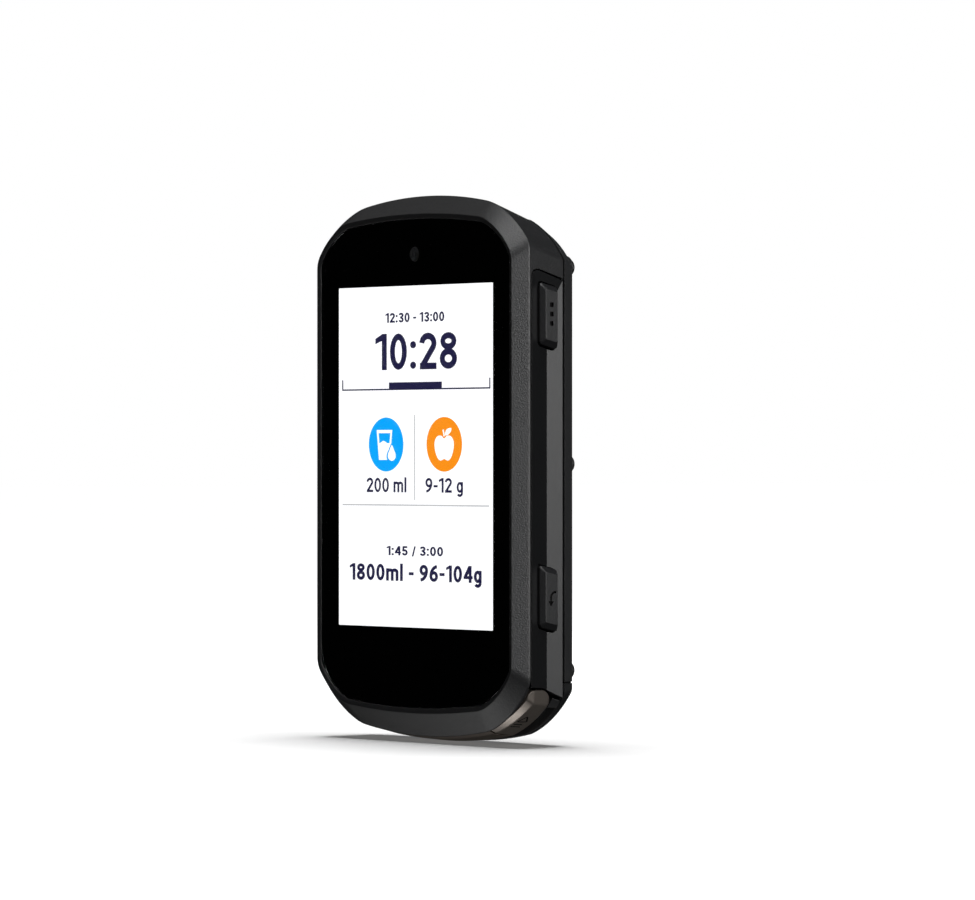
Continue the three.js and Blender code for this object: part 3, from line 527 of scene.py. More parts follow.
def band_shape(margin):
    """The band seen from the side, in Y and Z, with a round front upper corner."""
    b = BAND
    front, rear, radius = b["front"] - margin, b["rear"] + margin, b["corner"] + margin
    top = b["top"] + margin
    t = np.linspace(0, 1, 11)[:, None]
    start, bend, stop = (front + radius, top), (front, top + 0.1), (front, top - radius)
    corner = ((1 - t) ** 2 * start + 2 * t * (1 - t) * np.array(bend) + t * t * stop)
    low = np.array(b["low"]) - (0, margin)
    low[[0, -1], 0] = front, rear
    return np.vstack([low, (rear, b["top_rear"] + margin), corner])


def band_notch(side, look):
    """Tools that cut the band's seat out of the front housing."""
    start = BAND["inner"] - NOTCH_FLOOR
    shape = slab(band_shape(NOTCH_GAP), start, FAR, look, axes=SIDE, side=side)
    open_rear = box(sorted((side * start, side * FAR)), (BAND["rear"], FAR),
                    (BAND["low"][-1][1] - 1, BAND["top_rear"] + NOTCH_GAP), look)
    return [shape, open_rear]


BUTTON_Y, BUTTON_HALF, BUTTON_CORNER = 6.85, 1.9, 0.6
RIGHT_BUTTONS = {"menu": (22.7, 5.0), "back": (-22.9, 5.0)}
LEFT_BUTTONS = {"power": (22.7, 5.0), "up": (8.6, 4.2), "down": (-11.0, 4.2)}


def button_ring(half, margin=0.0, shrink=(0.0, 0.0)):
    """A button's outline in Y and Z, which leans with the band's upper and lower ends."""
    ring = rounded(BUTTON_HALF + margin - shrink[0], half + margin - shrink[1],
                   BUTTON_CORNER + 0.5 * margin - 0.4 * max(shrink))
    return ring - np.c_[0 * ring[:, 0], BAND["slant"] * ring[:, 0]]


def side_band(name, side, buttons):
    """A bar cut to the band's side shape, with its V groove and the holes for the buttons."""
    look = LOOK["band"]
    b = BAND
    section = [(b["front_x"], b["front"]), (b["rear_x"], b["rear"]), (b["inner"], b["rear"]),
               (b["inner"], b["front"])]
    band = add_mesh(f"{name}_bar", *skin([[(side * x, y, z) for x, y in section]
                                          for z in (FAR, -FAR)]), look)
    combine(band, [slab(band_shape(0), b["inner"] - 1, FAR, look, axes=SIDE, side=side)],
            "INTERSECT")
    valley = np.array((b["valley_x"], b["valley"], b["groove_top"]))
    lips = [(np.array(lip) - valley) * 1.3 + valley
            for lip in ((b["front_x"], b["front"], b["top"]),
                        (b["rear_x"], b["rear"], b["top_rear"]))]
    upper = np.array((lips[0], valley, lips[1])) * (side, 1, 1)
    lower = upper * (1, 1, 0) - (0, 0, FAR)
    combine(band, [add_mesh("wedge", *skin([upper, lower]), look)])
    tools = []
    for z, half in buttons.values():
        for gap, reach in ((BUTTON_GAP, 30), (FLANGE_GAP, FLANGE_ROOM)):
            tools.append(slab(button_ring(half, gap), 20, reach, look, (0, BUTTON_Y, z), SIDE,
                              side))
    for z in SCREW_HEIGHTS[1:]:
        tools.append(slab(circle(SHANK_HOLE), 5.4, 14, look, (side * SCREW_X, 0, z)))
    combine(band, tools)
    finished(band, "case", "band", name, angle=8)


# ---- bezel, lens and display

SENSOR_Z, SENSOR_RADIUS, SENSOR_PUPIL = 33.25, 1.2, 0.5
DISPLAY_HALF = (19.67, 28.1)
LENS_GAP = 0.12


def front_housing():
    """The bezel with its raised lip, open below and in the middle, and notched for the bands."""
    look = LOOK["shell"]
    keys = [(outline(LIP_INSIDE, SHELF_FRONT), 0), (outline(LIP_INSIDE, 0.25), 0.08),
            (outline(LIP, 0, FRONT_SOFT), 0.14),
            (outline(SHOULDER, SHOULDER_DEPTH, FRONT_SOFT), 0.16),
            (outline(REAR_SEAM, FRONT_SEAM), 0.12),
            (outline(inset(REAR_SEAM, 1.5), FRONT_SEAM), 0),
            (outline(inset(SHOULDER, 1.8), SHELF_BACK), 0),
            (outline(OPENING, SHELF_BACK), 0), (outline(OPENING, SHELF_FRONT), 0)]
    housing = shell_of("front_housing_shell", keys, look, closed=True)
    sensor_hole = slab(circle(SENSOR_RADIUS), 0.5, 4, look, (0, 0, SENSOR_Z))
    below = box((-FAR, FAR), (SHELF_BACK, FAR), (-FAR, -30), look)
    combine(housing, [below, sensor_hole] + band_notch(1, look) + band_notch(-1, look))
    finished(housing, "case", "housing", "front_housing")


def lens():
    """The glass, the black border printed behind it, and the sensor's window."""
    spec = inset(LIP_INSIDE, LENS_GAP)
    keys = [(outline(spec, GLASS_BACK), 0), (outline(spec, GLASS_FRONT), 0.12),
            (outline(inset(spec, 0.25), GLASS_FRONT), 0)]
    glass = shell_of("lens_pane", keys, LOOK["glass"])
    finished(glass, "case", "lens", "cover_glass")
    border = straight(inset(LIP_INSIDE, 0.2), INK_FRONT, INK_BACK, LOOK["ink"])
    border.name = "lens_border"
    window = rounded(*DISPLAY_HALF, 0.12, 4)
    combine(border, [slab(window, 0, 2, LOOK["ink"]),
                     slab(circle(SENSOR_RADIUS + 0.05), 0, 2, LOOK["ink"],
                          (0, 0, SENSOR_Z))])
    finished(border, "case", "rubber", "lens_adhesive")
    pane = slab(circle(SENSOR_RADIUS), INK_FRONT, INK_BACK, LOOK["sensor"], (0, 0, SENSOR_Z))
    pane.name = "sensor_window"
    combine(pane, [slab(circle(SENSOR_PUPIL, 32), INK_FRONT - 1, INK_FRONT + 0.05,
                        LOOK["insert"], (0, 0, SENSOR_Z))])
    finished(pane, "case", "sensor")


LAYER, LAYER_GAP = 0.02, 0.005


def layer(level):
    """Front and back Y of a layer of the picture, counted forward from the panel."""
    back = PANEL_FRONT - LAYER_GAP - level * LAYER
    return back - LAYER, back


def figure(name, rings, look, level=0):
    """Flat shapes of the picture, each a ring in X and Z, as one piece."""
    joined(name, [slab(ring, *layer(level), look) for ring in rings])


def joined(name, parts):
    """Separate flat shapes of the picture as one piece."""
    with bpy.context.temp_override(active_object=parts[0], selected_editable_objects=parts):
        bpy.ops.object.join()
    parts[0].name = name
    finished(parts[0], "case", "screen")


def loop(centre, radii, thick):
    """A ring-shaped stroke: its outer edge, and the hole in it."""
    outer = bow(centre, radii, 0, 345, 24)
    return [outer], [bow(centre, np.subtract(radii, thick), 0, 345, 24)]


GLYPH_SPACE = 0.12


def glyph(char, thick):
    """Width, solid rings and holes of one character, for a cap height of 1."""
    t, s, w = thick, thick / 2, 0.62
    middle, reach = w / 2, w / 2 - s
    if char == "0":
        return w, *loop((middle, 0.5), (middle, 0.5), t)
    if char == "1":
        return 0.42, [bar((0.42 - t, 0.42), (0, 1)),
                      [(0, 0.72), (0.42 - s, 0.84), (0.42 - s, 1), (0.36 - s, 1), (0, 0.87)]], []
    if char == "2":
        hook = bow((middle, 0.71), (reach, 0.29 - s), 178, -28)
        line = np.vstack([hook, (0.55 * t + 0.02, t * 0.6)])
        return w, [stroke(line, t), bar((0.02, w), (0, t))], []
    if char == "3":
        return w, [stroke(bow((middle, 0.74), (reach * 0.95, 0.26 - s), 170, -80), t),
                   stroke(bow((middle, 0.28), (reach, 0.28 - s), 80, -170), t),
                   bar((w * 0.32, w * 0.6), (0.52 - s, 0.52 + s))], []
    if char == "4":
        stem = w * 0.6
        return w, [bar((stem, stem + t), (0, 1)), bar((0, w + 0.03), (0.22, 0.22 + 0.9 * t)),
                   [(0, 0.22), (0, 0.36), (stem - 0.02, 1), (stem + s, 1), (stem + s, 0.9 - t),
                    (t * 0.95, 0.3), (t * 0.95, 0.22)]], []
    if char == "5":
        return w, [bar((0.09, w * 0.94), (1 - t, 1)),
                   [(0.09, 1), (0.09 + t * 0.9, 1), (0.06 + t * 0.9, 0.45), (0.05, 0.45)],
                   stroke(bow((middle, 0.33), (reach, 0.33 - s), 135, -165), t)], []
    if char in "69":
        rings, holes = loop((middle, 0.32), (middle, 0.32), t)
        rings.append(stroke(bow((w * 0.9, 0.34), (w * 0.9 - s, 0.66 - s), 180, 92), t))
        if char == "9":
            rings, holes = ([(w, 1) - np.array(ring) for ring in group]
                            for group in (rings, holes))
        return w, rings, holes
    if char == "8":
        low, low_hole = loop((middle, 0.285), (middle, 0.285), t)
        high, high_hole = loop((middle, 0.76), (w * 0.46, 0.24), t * 0.95)
        return w, low + high, low_hole + high_hole
    if char == ":":
        return 0.22, [bow((0.11, z), (0.6 * t, 0.55 * t), 0, 340, 18) for z in (0.12, 0.68)], []
    if char == "-":
        return 0.36, [bar((0, 0.36), (0.36, 0.36 + 0.9 * t))], []
    if char == "/":
        return 0.4, [[(0, -0.08), (t * 0.8, -0.08), (0.42, 1), (0.42 - t * 0.8, 1)]], []
    if char == "l":
        return t + 0.02, [bar((0.01, 0.01 + t), (0, 1.04))], []
    if char == "m":
        span, arch = 0.36, bow((0.5, 0.54), (0.18, 0.2 - s), 180, 0, 11)
        humps = [arch - (0.5, 0) + (s + span * (i + 0.5), 0) for i in range(2)]
        stems = [bar((span * i, span * i + t), (0, 0.56 if i else 0.74)) for i in range(3)]
        return 2 * span + t, stems + [stroke(hump, t) for hump in humps], []
    if char == "g":
        rings, holes = loop((0.28, 0.37), (0.28, 0.37), t)
        tail = bow((0.28, 0.0), (0.28 - s, 0.28 - s), 0, -150)
        return 0.58, [*rings, bar((0.56 - t, 0.56), (0, 0.73)), stroke(tail, t)], holes
    return 0.2, [], []


def writing(name, text, x, cap, thick):
    """Digits and units that span x, and whose full height spans cap."""
    glyphs = [glyph(char, thick) for char in text]
    across = sum(width + GLYPH_SPACE for width, _, _ in glyphs) - GLYPH_SPACE
    scale = np.array(((x[1] - x[0]) / across, cap[1] - cap[0]))
    at, pieces = 0.0, []
    for width, rings, holes in glyphs:
        low = np.array((x[0] + at * scale[0], cap[0]))
        at += width + GLYPH_SPACE
        if not rings:
            continue
        solids, tools = ([slab(np.asarray(ring) * scale + low, *layer(0), LOOK["navy"])
                          for ring in group] for group in (rings, holes))
        if solids[1:]:
            combine(solids[0], solids[1:], "UNION")
        pieces.append(combine(solids[0], tools) if tools else solids[0])
    joined(name, pieces)


DISC = circle(4.47, 72)


def display():
    """The lit panel's picture: figures, dividers, and a drink and a food sign."""
    panel = frame["nodes"]["display_panel"]
    panel.data.materials.clear()
    panel.data.materials.append(LOOK["white"])
    writing("screen_caption_top", "12:30 - 13:00", (-7.5, 7.5), (22.1, 23.7), 0.2)
    writing("screen_clock", "10:28", (-10.1, 10.7), (14.3, 20.3), 0.18)
    writing("screen_volume", "200 ml", (-12.4, -2.1), (-5.9, -3.5), 0.17)
    writing("screen_weight", "9-12 g", (2.75, 12.25), (-5.9, -3.5), 0.17)
    writing("screen_caption_low", "1:45 / 3:00", (-7.2, 7.2), (-16.3, -14.75), 0.2)
    writing("screen_remaining", "1800ml - 96-104g", (-16.8, 16.9), (-20.5, -17.75), 0.2)
    figure("screen_progress", [bar((-18.8, 19.0), (10.97, 11.22)),
                               bar((-18.8, -18.52), (11.22, 12.75)),
                               bar((18.72, 19.0), (11.22, 12.75)),
                               bar((-6.6, 6.9), (11.22, 12.25))], LOOK["navy"])
    figure("screen_dividers", [bar((-0.13, 0.13), (-7.2, 6.9)),
                               bar((-18.7, 18.7), (-8.12, -7.88))], LOOK["grey"])
    drink, food = np.array((-7.34, 2.0)), np.array((7.5, 2.0))
    figure("screen_drink_disc", [DISC + drink], LOOK["blue"])
    cup = np.array([(-2.4, 2.4), (1.6, 2.4), (1.05, -2.55), (-1.8, -2.55)])
    drop = smooth_loop([(0, 1.5), (0.55, 0.6), (0.95, -0.2), (0.85, -0.95), (0, -1.4),
                        (-0.85, -0.95), (-0.95, -0.2), (-0.55, 0.6)])
    place = drink + (1.55, -1.45)
    surface_x = np.linspace(-1.68, 0.92, 12)
    wave = np.c_[surface_x, 0.4 - 0.2 * np.sin(surface_x * 2.6)]
    figure("screen_drink_cup", [cup + drink], LOOK["white"], 1)
    air = np.vstack([[(1.14, 1.88), (-1.87, 1.88)], wave])
    figure("screen_drink_level", [air + drink, drop * (1.4, 1.15) + place], LOOK["blue"], 2)
    figure("screen_drink_drop", [drop * (1.0, 0.9) + place], LOOK["white"], 3)
    figure("screen_food_disc", [DISC + food], LOOK["orange"])
    fruit = smooth_loop([(0, 0.95), (0.75, 1.4), (1.7, 1.3), (2.35, 0.5), (2.35, -0.7),
                         (1.75, -2.1), (0.95, -2.65), (0, -2.4), (-0.95, -2.65), (-1.75, -2.1),
                         (-2.35, -0.7), (-2.35, 0.5), (-1.7, 1.3), (-0.75, 1.4)])
    leaf = smooth_loop([(0.3, 1.45), (0.3, 1.95), (0.75, 2.5), (1.75, 2.65), (1.65, 2.1),
                        (1.05, 1.6)])
    stem = stroke([(-0.3, 2.4), (-0.12, 1.9), (0.0, 1.3)], 0.3)
    figure("screen_food_fruit", [fruit + food, leaf + food, stem + food], LOOK["white"], 1)


# ---- side buttons

# X, how far the ring stands out from the button's outline, and how far its edge is rounded
SIDE_LEVELS = [(22.7, 0.6, 0), (23.2, 0.6, 0), (23.2, 0.0, 0), (26.1, 0.0, 0.12)]
FACE_X, FACE_SHRINK, FACE_SOFT, MARK_DEPTH = 26.9, (0.65, 0.95), 0.05, 0.35


def side_button(name, side, z, half, marks):
    """A capped key with a bevelled rim, and its mark cut into the face as pockets lined with
    near-black painted shade.
    """
    levels = [(button_ring(half, margin), x) for x, margin, _ in SIDE_LEVELS]
    levels.append((button_ring(half, 0, FACE_SHRINK), FACE_X))
    levels.append((button_ring(half, 0, tuple(s + 0.3 for s in FACE_SHRINK)), FACE_X))
    soft = [size for _, _, size in SIDE_LEVELS] + [FACE_SOFT, 0]
    at = (0, BUTTON_Y, z)
    key = tower(f"{name}_button_key", levels, LOOK["button"], at, SIDE, side, soft)
    # the cutters pass their near-black look to the pocket walls and floors: painted shade inside
    # the mark
    combine(key, [slab(ring, FACE_X - MARK_DEPTH, FACE_X + 1, LOOK["painted_shade"], at, SIDE, side)
                  for ring in marks])
    finished(key, f"{name}_button", "button", f"{name}_button")


def arrow_head(tip, way, size):
    """A triangle that points the given way."""
    tip, way = np.array(tip, float), np.array(way, float) / np.linalg.norm(way)
    across = np.array((-way[1], way[0]))
    back = tip - way * size
    return [tip, back + across * 0.7 * size, back - across * 0.7 * size]


def side_buttons():
    """The five keys in the bands, each with its mark."""
    dots = [rounded(0.38, 0.38, 0.14, 4) + (0.0, z) for z in (1.75, 0.25, -1.25)]
    hook = np.vstack([bow((0.75, 0.2), (0.9, 0.85), 82, 180, 12), (-0.15, -0.3), (-0.15, -0.5)])
    chevron = [(-0.75, -0.35), (0.0, 0.4), (0.75, -0.35)]
    marks = {
        "menu": dots,
        "back": [stroke(hook, 0.32), arrow_head((-0.15, -1.25), (0, -1), 0.85)],
        "power": [stroke(bow((0, 0), 0.9, 125, 415, 20), 0.26),
                  rounded(0.14, 0.55, 0.1, 4) + (0, 0.75)],
        "up": [stroke(chevron, 0.34)],
        "down": [stroke(np.array(chevron) * (1, -1), 0.34)],
    }
    for side, buttons in ((1, RIGHT_BUTTONS), (-1, LEFT_BUTTONS)):
        for name, (z, half) in buttons.items():
            side_button(name, side, z, half, marks[name])


# ---- bottom trim and corner buttons

# Lengthwise edges of the trim and the corner buttons: Y, the height at the middle, the knee, the
# bend where the corner button turns up, its upper end, and how far the edge is rounded
RAILS = [
    (3.3, -45.75, (16.0, -44.3), (24.9, -39.2), (25.29, -37.5), 0.12),
    (4.6, -46.5, (16.0, -44.95), (25.05, -39.9), (25.34, -37.5), 0.28),
    (8.4, -46.95, (15.9, -45.45), (24.1, -40.3), (24.73, -37.5), 0.3),
    (9.0, -46.4, (15.8, -44.95), (23.7, -40.0), (24.4, -37.5), 0.15),
    (9.0, -44.3, (15.75, -42.5), (22.7, -38.8), (22.7, -37.5), 0),
    (3.3, -44.3, (15.75, -42.5), (22.7, -38.8), (22.7, -37.5), 0),
]
TRIM_HALF, CORNER_START, CORNER_BULGE = 15.3, 15.75, 0.5
CORNER_MARK = dict(at=(20.1, 6.0, -43.2), out=(0.52, 0.12, -0.846), along=(0.852, 0, 0.523),
                   depth=0.3)
CORNER_END = dict(front=3.2, rear=9.1, top=-37.68, front_radius=1.6, reach=2.9, drop=3.2)


def bottom_trim():
    """The bar along the lower end, swept from side to side."""
    x = np.linspace(-TRIM_HALF, TRIM_HALF, 49)
    rails = [np.c_[x, np.full_like(x, y), end_height(bottom, knee, x)]
             for y, bottom, knee, _, _, _ in RAILS]
    rails = fillet(rails, [rail[-1] for rail in RAILS], closed=True)
    # the trim takes the darker bronze copy: painted shade for its downward faces
    trim = add_mesh("bottom_trim_bar", *skin(np.array(rails).transpose(1, 0, 2)), LOOK["trim"])
    finished(trim, "case", "bronze", "bottom_trim")


def corner_end():
    """The free end of a corner button seen from the side: a round front and a longer rear."""
    e = CORNER_END
    turn = np.linspace(0, math.pi / 2, 14)[:, None]
    across, up = np.cos(turn), np.sin(turn)
    front = np.hstack([e["front"] + e["front_radius"] * (1 - across),
                       e["top"] - e["front_radius"] * (1 - up)])
    rear = np.hstack([e["rear"] - e["reach"] * (1 - across), e["top"] - e["drop"] * (1 - up)])
    return np.vstack([(e["front"], -FAR), front, rear[::-1], (e["rear"], -FAR)])


def corner_button(name, side, marks):
    """A key bent around the corner from the trim's end up to the band."""
    rails = []
    for y, _, knee, bend, end, _ in RAILS:
        curve = arc((CORNER_START, knee[1]), bend, -CORNER_BULGE)
        lines = [np.c_[p[:, 0], np.full(len(p), y), p[:, 1]]
                 for p in (curve, np.array((bend, end)))]
        rails.append(chain(lines, (18, 4), 0.3))
    rails = fillet(rails, [rail[-1] for rail in RAILS], closed=True)
    sections = np.array(rails).transpose(1, 0, 2) * (side, 1, 1)
    key = add_mesh(f"{name}_button_key", *skin(sections), LOOK["bronze"])
    combine(key, [slab(corner_end(), 10, FAR, LOOK["bronze"], axes=SIDE, side=side)], "INTERSECT")
    m = CORNER_MARK
    axes = np.array((m["along"], np.cross(m["out"], m["along"]), m["out"]))
    # the mark's pockets take the cutters' near-black look: painted shade inside the mark
    combine(key, [slab(ring, -m["depth"], 2, LOOK["painted_shade"], m["at"], axes, side)
                  for ring in marks])
    finished(key, f"{name}_button", "bronze", f"{name}_button")


def corner_buttons():
    """The two keys at the lower corners, each with its mark."""
    play = [(0.5, -1.0), (2.1, 0.0), (0.5, 1.0), (0.5, -1.0)]
    pause = [rounded(0.16, 1.0, 0.1, 3) + (x, 0) for x in (-0.45, -1.3)]
    sides = [stroke(play[i:i + 2], 0.28) for i in range(3)]
    corner_button("start", 1, [*sides, *pause])
    turn = stroke(bow((0, 0), 0.85, 60, 350, 20), 0.28)
    corner_button("lap", -1, [turn, arrow_head((0.75, 0.35), (0.35, 1), 0.75)])


# ---- rear housing and bottom cap

CAP_FRONT, CAP_TOP, CAP_FLOOR = 9.3, -36.75, 10.9
CAP_SHOULDER = [(9.0, -38.95), (10.6, -39.7)]
CAP_STEP, CAP_STEP_REAR, CAP_LAP = 1.6, 10.3, 0.1
FACET = dict(front=9.2, inset=0.75, low=-40.65, start=21)
GROOVE_Y, GROOVE_DEPTH = (10.45, 10.72), 0.4
TONGUE_Y, TONGUE_TOP, TONGUE_INSET, TONGUE_PLAY = (11.1, 12.7), -36.1, 0.7, 0.2
SEAM = 0.3
PORT_Z, PORT_HALF, PORT_HEIGHT, PORT_FLOOR, PORT_GAP = -39.5, 9.6, 5.2, 12.1, 0.25
USB_HALF = (4.5, 1.6)
INSERT_SCREWS = [(9.3 * math.cos(a), INSERT_Z + 9.3 * math.sin(a))
                 for a in np.radians((45, 135, 225, 315))]
CASE_SCREWS = [(side * SCREW_X, z) for side in (-1, 1) for z in SCREW_HEIGHTS]
BOSS_RADIUS, BOSS_END = 1.9, 13.1
SPEAKER, SLOT_PITCH, VENT, VENT_RADIUS = (8.2, -31.2), 2.4, (12.0, 23.0), 0.6
SEAT = dict(inner=15.55, outer=15.95, rim=16.1, floor=13.15)   # the groove round the insert
LANYARD = (-16.0, 12.5, -41.6)


def back_rings(*first):
    """Rings of the rear shell from its seam to its flat face."""
    face = inset(REAR_EDGE, FACE_INSET)
    return [*first, (outline(REAR_EDGE, EDGE_Y), 0.35), (outline(face, FACE_Y), 0.3),
            (outline(inset(face, 0.6), FACE_Y), 0)]


def pocket(ring_of, low, rim, look, at, flare=0.15):
    """A tool for a pocket that widens a little at the rim, for a soft edge."""
    levels = [(ring_of(0), low), (ring_of(0), rim - flare), (ring_of(flare), rim),
              (ring_of(flare), rim + 3)]
    return tower("tool", levels, look, at)


def rear_housing():
    """The rear shell down to the cap, with its bosses, screw holes, slots and seats."""
    look = LOOK["shell"]
    body = shell_of("rear_housing_shell", back_rings((outline(REAR_SEAM, REAR_FRONT_SEAM), 0)),
                    look)
    combine(body, [straight(REAR_POCKET, 9, REAR_FLOOR, look)])
    bosses = [slab(circle(BOSS_RADIUS, 32), REAR_FRONT_SEAM, BOSS_END, look, (x, 0, z))
              for x, z in CASE_SCREWS]
    combine(body, bosses, "UNION")
    tools = [box((-FAR, FAR), (0, FAR), (-FAR, CAP_TOP + SEAM), look)]
    for x, z in CASE_SCREWS + INSERT_SCREWS:
        tools.append(slab(circle(SHANK_HOLE, 24), 5, 20, look, (x, 0, z)))
    for step in (-1.5, -0.5, 0.5, 1.5):
        tools.append(pocket(lambda m: rounded(0.5 + m, 2.6 + m, 0.45 + m), 10, FACE_Y, look,
                            (SPEAKER[0] + SLOT_PITCH * step, 0, SPEAKER[1]), 0.12))
    tools.append(pocket(lambda m: circle(VENT_RADIUS + m, 24), 5, FACE_Y, look,
                        (VENT[0], 0, VENT[1])))
    middle = (0, 0, INSERT_Z)
    seat = tower("tool", [(circle(SEAT["outer"], 96), SEAT["floor"]),
                          (circle(SEAT["rim"], 96), 16)], look, middle)
    tools.append(combine(seat, [slab(circle(SEAT["inner"], 96), 10, 20, look, middle)]))
    front, rear = TONGUE_Y
    rebate = straight(inset(REAR_SEAM, TONGUE_INSET - TONGUE_PLAY), front - TONGUE_PLAY,
                      rear + TONGUE_PLAY, look)
    above = box((-FAR, FAR), (0, FAR), (-FAR, TONGUE_TOP + TONGUE_PLAY), look)
    tools.append(combine(rebate, [above], "INTERSECT"))
    combine(body, tools)
    finished(body, "case", "housing", "rear_housing")


def cap_facets(look):
    """Two short facets that close the side grooves behind the corner buttons."""
    made = []
    for side in (1, -1):
        slope = add_mesh("tool", *skin([outline(inset(REAR_SEAM, FACET["inset"]), FACET["front"]),
                                        outline(REAR_SEAM, CAP_STEP_REAR + CAP_LAP)]), look)
        end = box(sorted((side * FACET["start"], side * FAR)), (0, FAR), (FACET["low"], CAP_TOP),
                  look)
        made.append(combine(slope, [end], "INTERSECT"))
    return made


def bottom_cap():
    """The cap below the rear shell, with the port's recess and the lanyard notch."""
    look = LOOK["cap"]
    step = inset(REAR_SEAM, CAP_STEP)
    body = shell_of("bottom_cap_shell", back_rings(
        (outline(step, CAP_FRONT), 0), (outline(step, CAP_STEP_REAR), 0),
        (outline(REAR_SEAM, CAP_STEP_REAR + 0.02), 0.08)), look)
    combine(body, cap_facets(look), "UNION")
    above = [(0, FAR), (0, CAP_SHOULDER[0][1]), *CAP_SHOULDER, (CAP_SHOULDER[1][0], FAR)]
    combine(body, [slab(above, -FAR, FAR, look, axes=SIDE)])
    groove = straight(inset(REAR_SEAM, -1.0), *GROOVE_Y, look)
    combine(groove, [straight(inset(REAR_SEAM, GROOVE_DEPTH), 9, 12, look)])
    combine(body, [groove])
    combine(body, [straight(CAP_TUB, 3.6, CAP_FRONT + 0.5, look)], "UNION")
    port = (0, 0, PORT_Z)
    mouth = rounded(USB_HALF[0] + 0.3, USB_HALF[1] + 0.3, 1.7)
    x, y, z = LANYARD
    combine(body, [
        straight(inset(CAP_TUB, 1.0), 3, CAP_FLOOR, look),
        box((-FAR, FAR), (0, FAR), (CAP_TOP, FAR), look),
        pocket(lambda m: rounded(PORT_HALF + m, PORT_HEIGHT / 2 + m, 1.2 + m), PORT_FLOOR,
               FACE_Y, look, port),
        slab(mouth, 8, 15, look, port),
        pocket(lambda m: rounded(2.4 + m, 1.0 + m, 0.5 + m), 11.3, FACE_Y, look, (x, 0, z)),
        slab(circle(0.65, 20), x - 2.1, x + 2.1, look, (0, y, z), SIDE),
    ])
    # the tongue is near-black so the seam above the cap reads as a dark line: painted shade
    tongue = straight(inset(REAR_SEAM, TONGUE_INSET), *TONGUE_Y, LOOK["painted_shade"])
    combine(tongue, [box((-FAR, FAR), (0, FAR), (CAP_TOP - 0.6, TONGUE_TOP), LOOK["painted_shade"])],
            "INTERSECT")
    combine(body, [tongue], "UNION")
    finished(body, "case", "cap", "bottom_cap")


def port_cover():
    """A rubber door with four grip grooves cut in its face and a plug pad for the port."""
    look = LOOK["rubber"]
    half, height = PORT_HALF - PORT_GAP, PORT_HEIGHT / 2 - PORT_GAP

    def ring(m):
        return rounded(half - m, height - m, 1.0 - 0.6 * m)

    cover = tower("port_cover_door", [(ring(0), PORT_FLOOR + PORT_GAP), (ring(0), FACE_Y),
                                      (ring(0.3), FACE_Y)], look, (0, 0, PORT_Z),
                  soft=[0, 0.22, 0])
    pad = slab(rounded(3.7, 0.85, 0.8), 11.5, 12.6, look, (0, 0, PORT_Z))
    combine(cover, [pad], "UNION")
    grooves = [slab(rounded(0.18, 1.3, 0.17, 4), FACE_Y - 0.2, 15, look,
                    (half - 1.1 - 0.75 * i, 0, PORT_Z)) for i in range(4)]
    combine(cover, grooves)
    finished(cover, "port_cover", "rubber", "port_cover")


# ---- mount insert and screws

HUB = dict(base=13.5, tab_front=14.9, face=16.5, neck=12.0, radius=12.8, tab_radius=15.6,
           tab_angle=22)


def mount_insert():
    """The quarter-turn hub with its two tabs and four screw seats."""
    look = LOOK["insert"]
    h = HUB
    at = (0, 0, INSERT_Z)
    levels = [(circle(r, 96), y) for r, y in (
        (h["neck"], h["base"]), (h["neck"], h["tab_front"]), (h["radius"], h["tab_front"]),
        (h["radius"], h["face"]), (h["radius"] - 1, h["face"]))]
    hub = tower("mount_insert_hub", levels, look, at, soft=[0, 0.1, 0.1, 0.4, 0])
    tabs = []
    for side in (1, -1):
        edge = bow((0, 0), h["tab_radius"], -h["tab_angle"], h["tab_angle"], 20)
        root = bow((0, 0), h["neck"] - 1.5, 1.25 * h["tab_angle"], -1.25 * h["tab_angle"], 20)
        lines = [np.c_[p[:, 0], 0 * p[:, 0], p[:, 1]] for p in
                 (edge, np.array((edge[-1], root[0])), root, np.array((root[-1], edge[0])))]
        ring = chain(lines, (16, 5, 12, 5), 0.5)[:, [0, 2]]
        levels = [(ring, h["tab_front"]), (ring, h["face"]), (0.975 * ring, h["face"])]
        tabs.append(tower("tool", levels, look, at, side=side, soft=[0, 0.25, 0]))
    combine(hub, tabs, "UNION")
    tools = []
    for x, z in INSERT_SCREWS:
        tools.append(slab(circle(SHANK_HOLE, 24), 12, 18, look, (x, 0, z)))
        tools.append(pocket(lambda m: circle(1.8 + m, 36), 15.2, h["face"], look, (x, 0, z),
                            0.12))
    combine(hub, tools)
    finished(hub, "case", "insert", "mount_insert")


# Radius, Y and rounding of each turned edge, from tip to head, and the recess in the head
MOUNT_SCREW = dict(profile=[(0.45, 12.2, 0), (0.7, 12.5, 0), (0.7, 15.3, 0), (1.65, 15.3, 0.08),
                            (1.65, 16.3, 0.25), (1.2, 16.3, 0)], recess=0.75, depth=15.7)
CASE_SCREW = dict(profile=[(0.45, 5.7, 0), (0.7, 6.0, 0), (0.7, 13.5, 0), (1.4, 13.5, 0.06),
                           (1.4, 13.85, 0.15), (1.05, 14.15, 0.2), (0.6, 14.2, 0)],
                  recess=0.6, depth=13.7)


def screw(name, place, kind):
    """A turned screw with a six-lobed recess."""
    look = LOOK["black_steel"]
    x, z = place
    body = tower(f"{name}_turned", [(circle(r, 32), y) for r, y, _ in kind["profile"]], look,
                 (x, 0, z), soft=[soft for _, _, soft in kind["profile"]])
    angles = np.linspace(0, 2 * math.pi, 48, endpoint=False)
    lobes = (1 + 0.13 * np.cos(6 * angles))[:, None] * circle(kind["recess"])
    combine(body, [slab(lobes, kind["depth"], 20, look, (x, 0, z))])
    finished(body, "case", "black_screw", name)


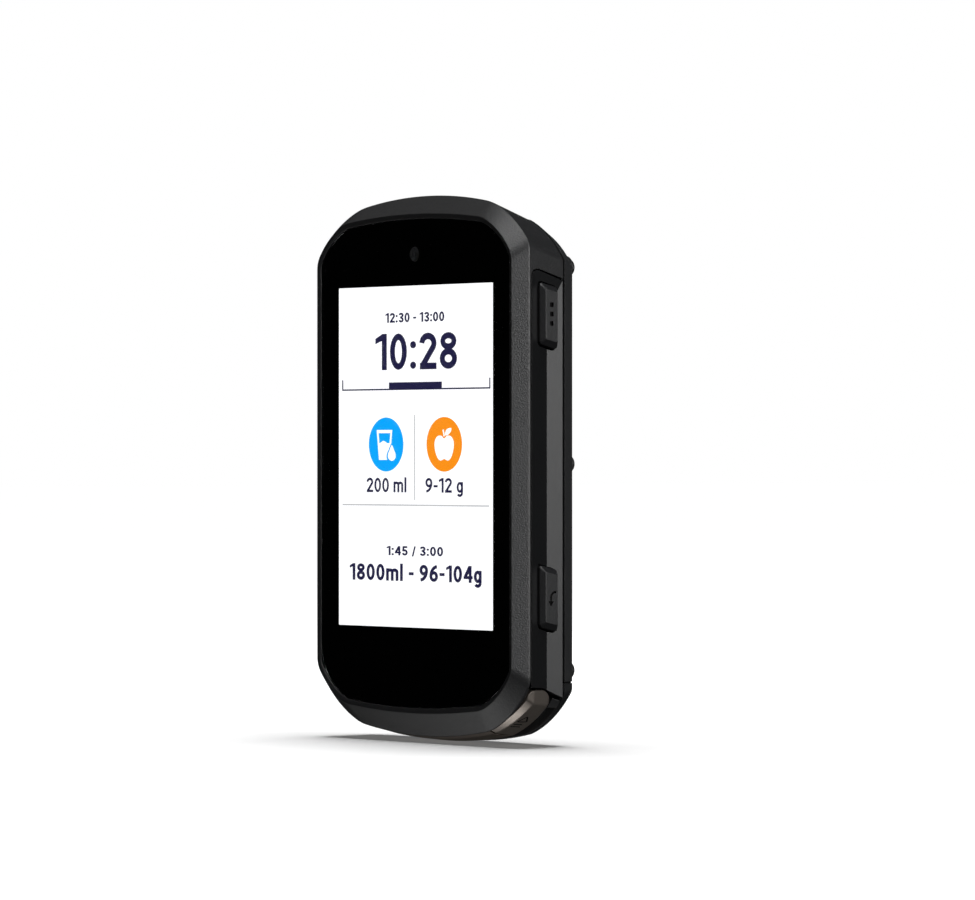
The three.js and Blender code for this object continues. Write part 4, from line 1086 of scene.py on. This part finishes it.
def screws():
    for family, kind, places in (("mount", MOUNT_SCREW, INSERT_SCREWS),
                                 ("case", CASE_SCREW, CASE_SCREWS)):
        for i, place in enumerate(places, 1):
            screw(f"{family}_screw_{i}", place, kind)


front_housing()
lens()
display()
side_band("right_side_band", 1, RIGHT_BUTTONS)
side_band("left_side_band", -1, LEFT_BUTTONS)
side_buttons()
bottom_trim()
corner_buttons()
rear_housing()
bottom_cap()
port_cover()
mount_insert()
screws()

# ---- floor

REACH = 6.0
GLOW_START, GLOW_FULL, GLOW_LEAST = 0.06, 0.35, 0.12   # the floor glows, but less near the object: painted shade round its base

floor_mesh = bpy.data.meshes.new("floor")
floor_mesh.from_pydata([(x, y, FLOOR_Z) for x, y in
                        ((-REACH, -REACH), (REACH, -REACH), (REACH, REACH), (-REACH, REACH))],
                       [], [(0, 1, 2, 3)])
floor = bpy.data.objects.new("floor", floor_mesh)
scene.collection.objects.link(floor)
floor_look, tree = material("floor_white", (0.8, 0.8, 0.8, 1))
place = node(tree, "ShaderNodeTexCoord").outputs["Object"]
away = node(tree, "ShaderNodeVectorMath", {0: place}, operation="LENGTH").outputs["Value"]
# the floor's glow falls to GLOW_LEAST near the object, a painted shade that deepens its contact
# shadow
glow_with_painted_shade = node(tree, "ShaderNodeMapRange", {
    "Value": away, "From Min": GLOW_START, "From Max": GLOW_FULL,
    "To Min": GLOW_LEAST, "To Max": 1.0}).outputs["Result"]
paper = node(tree, "ShaderNodeBsdfPrincipled", {
    "Base Color": (0.9, 0.9, 0.9, 1), "Roughness": 1.0, "Specular IOR Level": 0.0,
    "Emission Color": (1, 1, 1, 1), "Emission Strength": glow_with_painted_shade})
node(tree, "ShaderNodeOutputMaterial", {"Surface": paper.outputs[0]})
floor_mesh.materials.append(floor_look)
floor.visible_diffuse = False
floor.visible_glossy = False
floor.visible_transmission = False
floor.visible_shadow = False

# the floor has a light of its own, and the others leave it out
for state, lamps in (("INCLUDE", [floor_light]), ("EXCLUDE", object_lights)):
    group = bpy.data.collections.new(f"floor_{state.lower()}")
    group.objects.link(floor)
    group.collection_objects[0].light_linking.link_state = state
    for lamp in lamps:
        lamp.light_linking.receiver_collection = group
